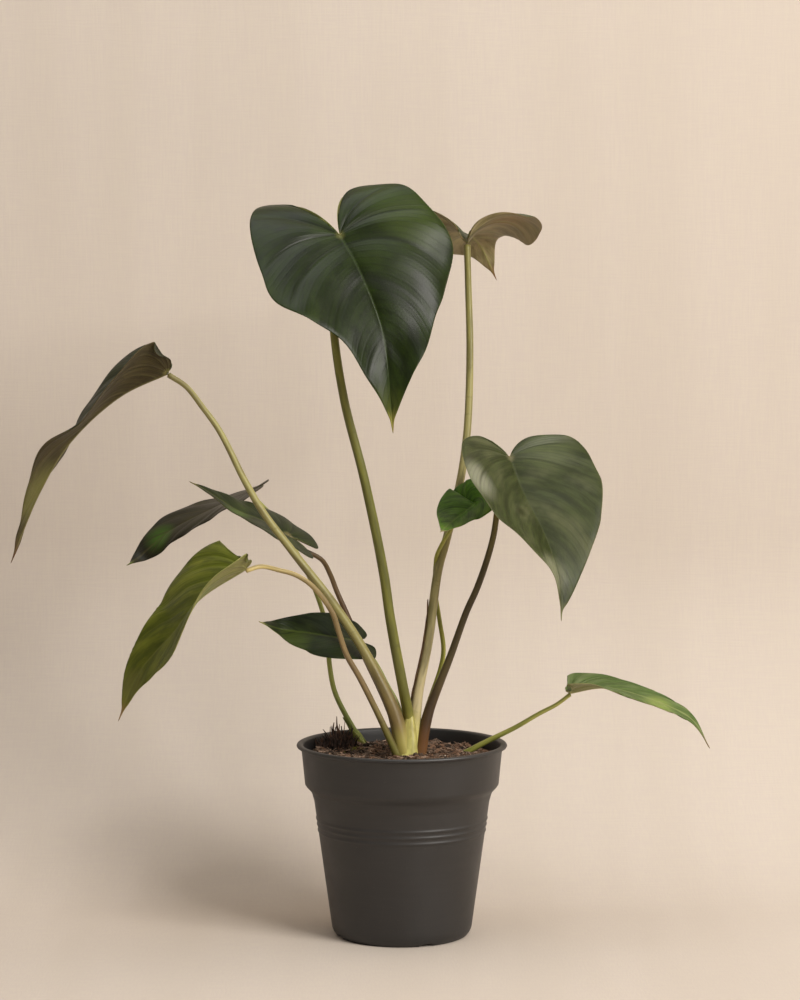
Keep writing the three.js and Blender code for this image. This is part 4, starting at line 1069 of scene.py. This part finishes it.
# thin strips that wrap a stalk: the dry bract on the tall back one, and a sheath at the back left one's foot;
# heights and thicknesses in mm; middle and half: where the strip lies around the stalk, in degrees
wraps = {
    "dryBract": {"leaf": "tall_back", "bottom": 166, "top": 238, "middle": 190, "half": 62, "gap": 0.5,
                 "curl": 0.9, "thickness": 0.35, "replaces": "bract", "slot": "dry_plant",
                 "skin": ["bractPaperyDry", "#4a3020", "#8a6a48"]},
    "sheathBackLeft": {"leaf": "back_left", "bottom": 124, "top": 148, "middle": 200, "half": 150, "gap": 0.5,
                       "curl": 0.5, "thickness": 0.5, "slot": "stalk",
                       "skin": ["sheathSkinGreen", "#97994a", "#868a40", "#5f6228"]},
}
wrapGrid = {"rows": 60, "columns": 18, "samples": 900, "edgeAcross": 0.12, "edgeAlong": 0.03, "nearest": 0.15}


def buildWrap(name, wrap):
    leaf, living = leaves[wrap["leaf"]], wrap["slot"] == "stalk"
    at, length = smoothCurve(leaf["route"])
    spots = np.linspace(0, length, wrapGrid["samples"])
    heights = at(spots)[:, 2]
    rows, columns = wrapGrid["rows"], wrapGrid["columns"]
    grid = ([], [])
    for i in range(rows + 1):
        u = i / rows
        z = wrap["bottom"] + (wrap["top"] - wrap["bottom"]) * u
        distance = float(np.interp(z, heights, spots))
        on = unit(at(distance + 1) - at(distance))
        point = at(distance) + on * min(0.0, (z - heights[0]) / on[2])
        side = unit(np.cross(on, [0.0, 1.0, 0.0]))
        other = np.cross(on, side)
        radius = stalkRadius(wrap["leaf"], distance, length)
        # narrow at the top, and at the foot too where it hangs loose
        narrow = max(0.12, 1 - u ** 2.2) if living else 1 - 0.75 * abs(2 * u - 0.8) ** 2.4 / 1.75
        frayed = 1 + 0.1 * noise.noise(Vector((z * 0.25, 2.2, 0.4)))
        for layer in (0, 1):
            row = []
            for j in range(columns + 1):
                v = 2 * j / columns - 1
                angle = math.radians(wrap["middle"] + wrap["half"] * narrow * frayed * v)
                uneven = 0.35 * noise.noise(Vector((z * 0.12, v * 1.5, 5.0)))
                lift = wrap["gap"] + wrap["curl"] * abs(v) ** 3 + uneven
                endShare = min(u, 1 - u) / wrapGrid["edgeAlong"]
                edge = min(1.0, (1 - abs(v)) / wrapGrid["edgeAcross"]) * min(1.0, endShare)
                lift = max(lift + (layer - 0.5) * wrap["thickness"] * edge, wrapGrid["nearest"])
                row.append(point + (radius + lift) * (math.sin(angle) * other - math.cos(angle) * side))
            grid[layer].append(row)
    vertices, known, faces = [], {}, []

    def vertex(layer, i, j):
        key = ("edge" if i in (0, rows) or j in (0, columns) else layer, i, j)
        if key not in known:
            known[key] = len(vertices)
            vertices.append(grid[layer][i][j])
        return known[key]

    for layer in (0, 1):
        for i in range(rows):
            for j in range(columns):
                face = [vertex(layer, *corner) for corner in ((i, j), (i, j + 1), (i + 1, j + 1), (i + 1, j))]
                faces.append(face if layer else face[::-1])
    piece = newPiece(name, vertices, faces, [(crownSkin if living else dryPlantSkin)(*wrap["skin"])])
    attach(piece, "root")
    if "replaces" in wrap:
        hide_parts(wrap["replaces"])


for name, wrap in wraps.items():
    buildWrap(name, wrap)
print("dried parts made")


# floor and wall in one sweep, in metres; the looks' sizes in mm, across, in depth and up
backdrop = {
    "wide": 3.2, "front": -2.6, "bend": 0.07, "radius": 0.26, "bendSteps": 16, "high": 2.4,
    "warpSize": [1.428571, 8.333333, 20], "weftSize": [22.22222, 1.428571, 1.428571],
    # sizes of the soft bands of painted fold shade
    "paintedFoldShadeSize": [62.5, 500, 625],
}


def linenSkin():
    # primed linen canvas: warm beige with a few slubs, and soft upright bands of painted shade for the folds
    # of the hanging cloth; the weave is drawn coarse, at 1.4 mm, so that it shows
    material, tree, skin = newMaterial("linenPrimedBeige")
    spot = addNode(tree, "TexCoord").outputs["Object"]
    noises = []
    for size, detail in (("warpSize", 2), ("weftSize", 2), ("paintedFoldShadeSize", 3)):
        stretched = addNode(tree, "Mapping", None, {"Vector": spot, "Scale": perMetre(*backdrop[size])})
        noises.append(addNode(tree, "TexNoise", None, {"Vector": stretched, "Scale": 1, "Detail": detail}))
    warp, weft, paintedFoldShade = noises
    weave = addNode(tree, "Math", addUp, [warp, weft])
    colour = "#c4b9af"
    for amount, hexColour in (
            (addNode(tree, "MapRange", smoothStep, [weave, 0.75, 1.3, 0, 1]), "#c7bdb0"),
            # soft bands of painted shade for the folds of the hanging cloth
            (addNode(tree, "MapRange", smoothStep, [paintedFoldShade, 0.3, 0.7, 0, 0.35]), "#bdb2a5")):
        colour = addNode(tree, "Mix", mixColour, {0: amount, 6: colour, 7: hexColour})
    connect(tree, skin, {
        "Base Color": colour, "Roughness": 0.88, "Specular IOR Level": 0.2,
        "Normal": addNode(tree, "Bump", None, {"Strength": 0.12, "Distance": 0.0006, "Height": weave})})
    return material


def buildBackdrop():
    b = backdrop
    line = [(b["front"], 0.0), (b["bend"], 0.0)]
    for k in range(1, b["bendSteps"] + 1):
        angle = math.pi / 2 * k / b["bendSteps"]
        line.append((b["bend"] + b["radius"] * math.sin(angle), b["radius"] * (1 - math.cos(angle))))
    line.append((b["bend"] + b["radius"], b["high"]))
    vertices = [(x / mm, y / mm, z / mm) for y, z in line for x in (-b["wide"], b["wide"])]
    faces = [[2 * i, 2 * i + 1, 2 * i + 3, 2 * i + 2] for i in range(len(line) - 1)]
    piece = newPiece("linenSweep", vertices, faces, [linenSkin()])


buildBackdrop()

# soft studio light: places and sizes in metres, power in watts
lights = {
    "key": {"at": (1.85, -1.75, 1.6), "aim": (0, 0, 0.25), "size": 1.3, "power": 92, "colour": "#fffaf4"},
    "fill": {"at": (-1.7, -1.6, 1.3), "aim": (0, 0, 0.25), "size": 1.8, "power": 4.5, "colour": "#ffffff"},
    "top": {"at": (0.0, -0.2, 2.1), "aim": (0, 0.2, 0.2), "size": 1.4, "power": 19, "colour": "#ffffff"},
}
for name, light in lights.items():
    lamp = bpy.data.lights.new(name, "AREA")
    lamp.shape, lamp.size, lamp.energy = "SQUARE", light["size"], light["power"]
    lamp.color = toLinear(light["colour"])[:3]
    holder = bpy.data.objects.new(name, lamp)
    holder.location = light["at"]
    holder.rotation_euler = (Vector(light["aim"]) - Vector(light["at"])).to_track_quat("-Z", "Y").to_euler()
    bpy.context.scene.collection.objects.link(holder)

studio = {"colour": "#efe2d4", "strength": 0.26}
world = bpy.data.worlds.new("studio")
world.use_nodes = True
connect(world.node_tree, world.node_tree.nodes["Background"], [studio["colour"], studio["strength"]])
bpy.context.scene.world = world
bpy.context.scene.view_settings.view_transform = "Standard"

# the photograph's view; focal length in pixels of its long side
camera = {"at": (-0.0013, -1.86, 0.43), "down": 3.68, "focalPixels": 2630, "framePixels": 1000, "sensor": 36}
view = bpy.data.cameras.new("camera")
view.sensor_fit = "AUTO"
view.sensor_width = camera["sensor"]
view.lens = camera["focalPixels"] / camera["framePixels"] * camera["sensor"]
holder = bpy.data.objects.new("camera", view)
holder.location = camera["at"]
holder.rotation_euler = (math.radians(90 - camera["down"]), 0, 0)
bpy.context.scene.collection.objects.link(holder)
bpy.context.scene.camera = holder
print("light and camera set")
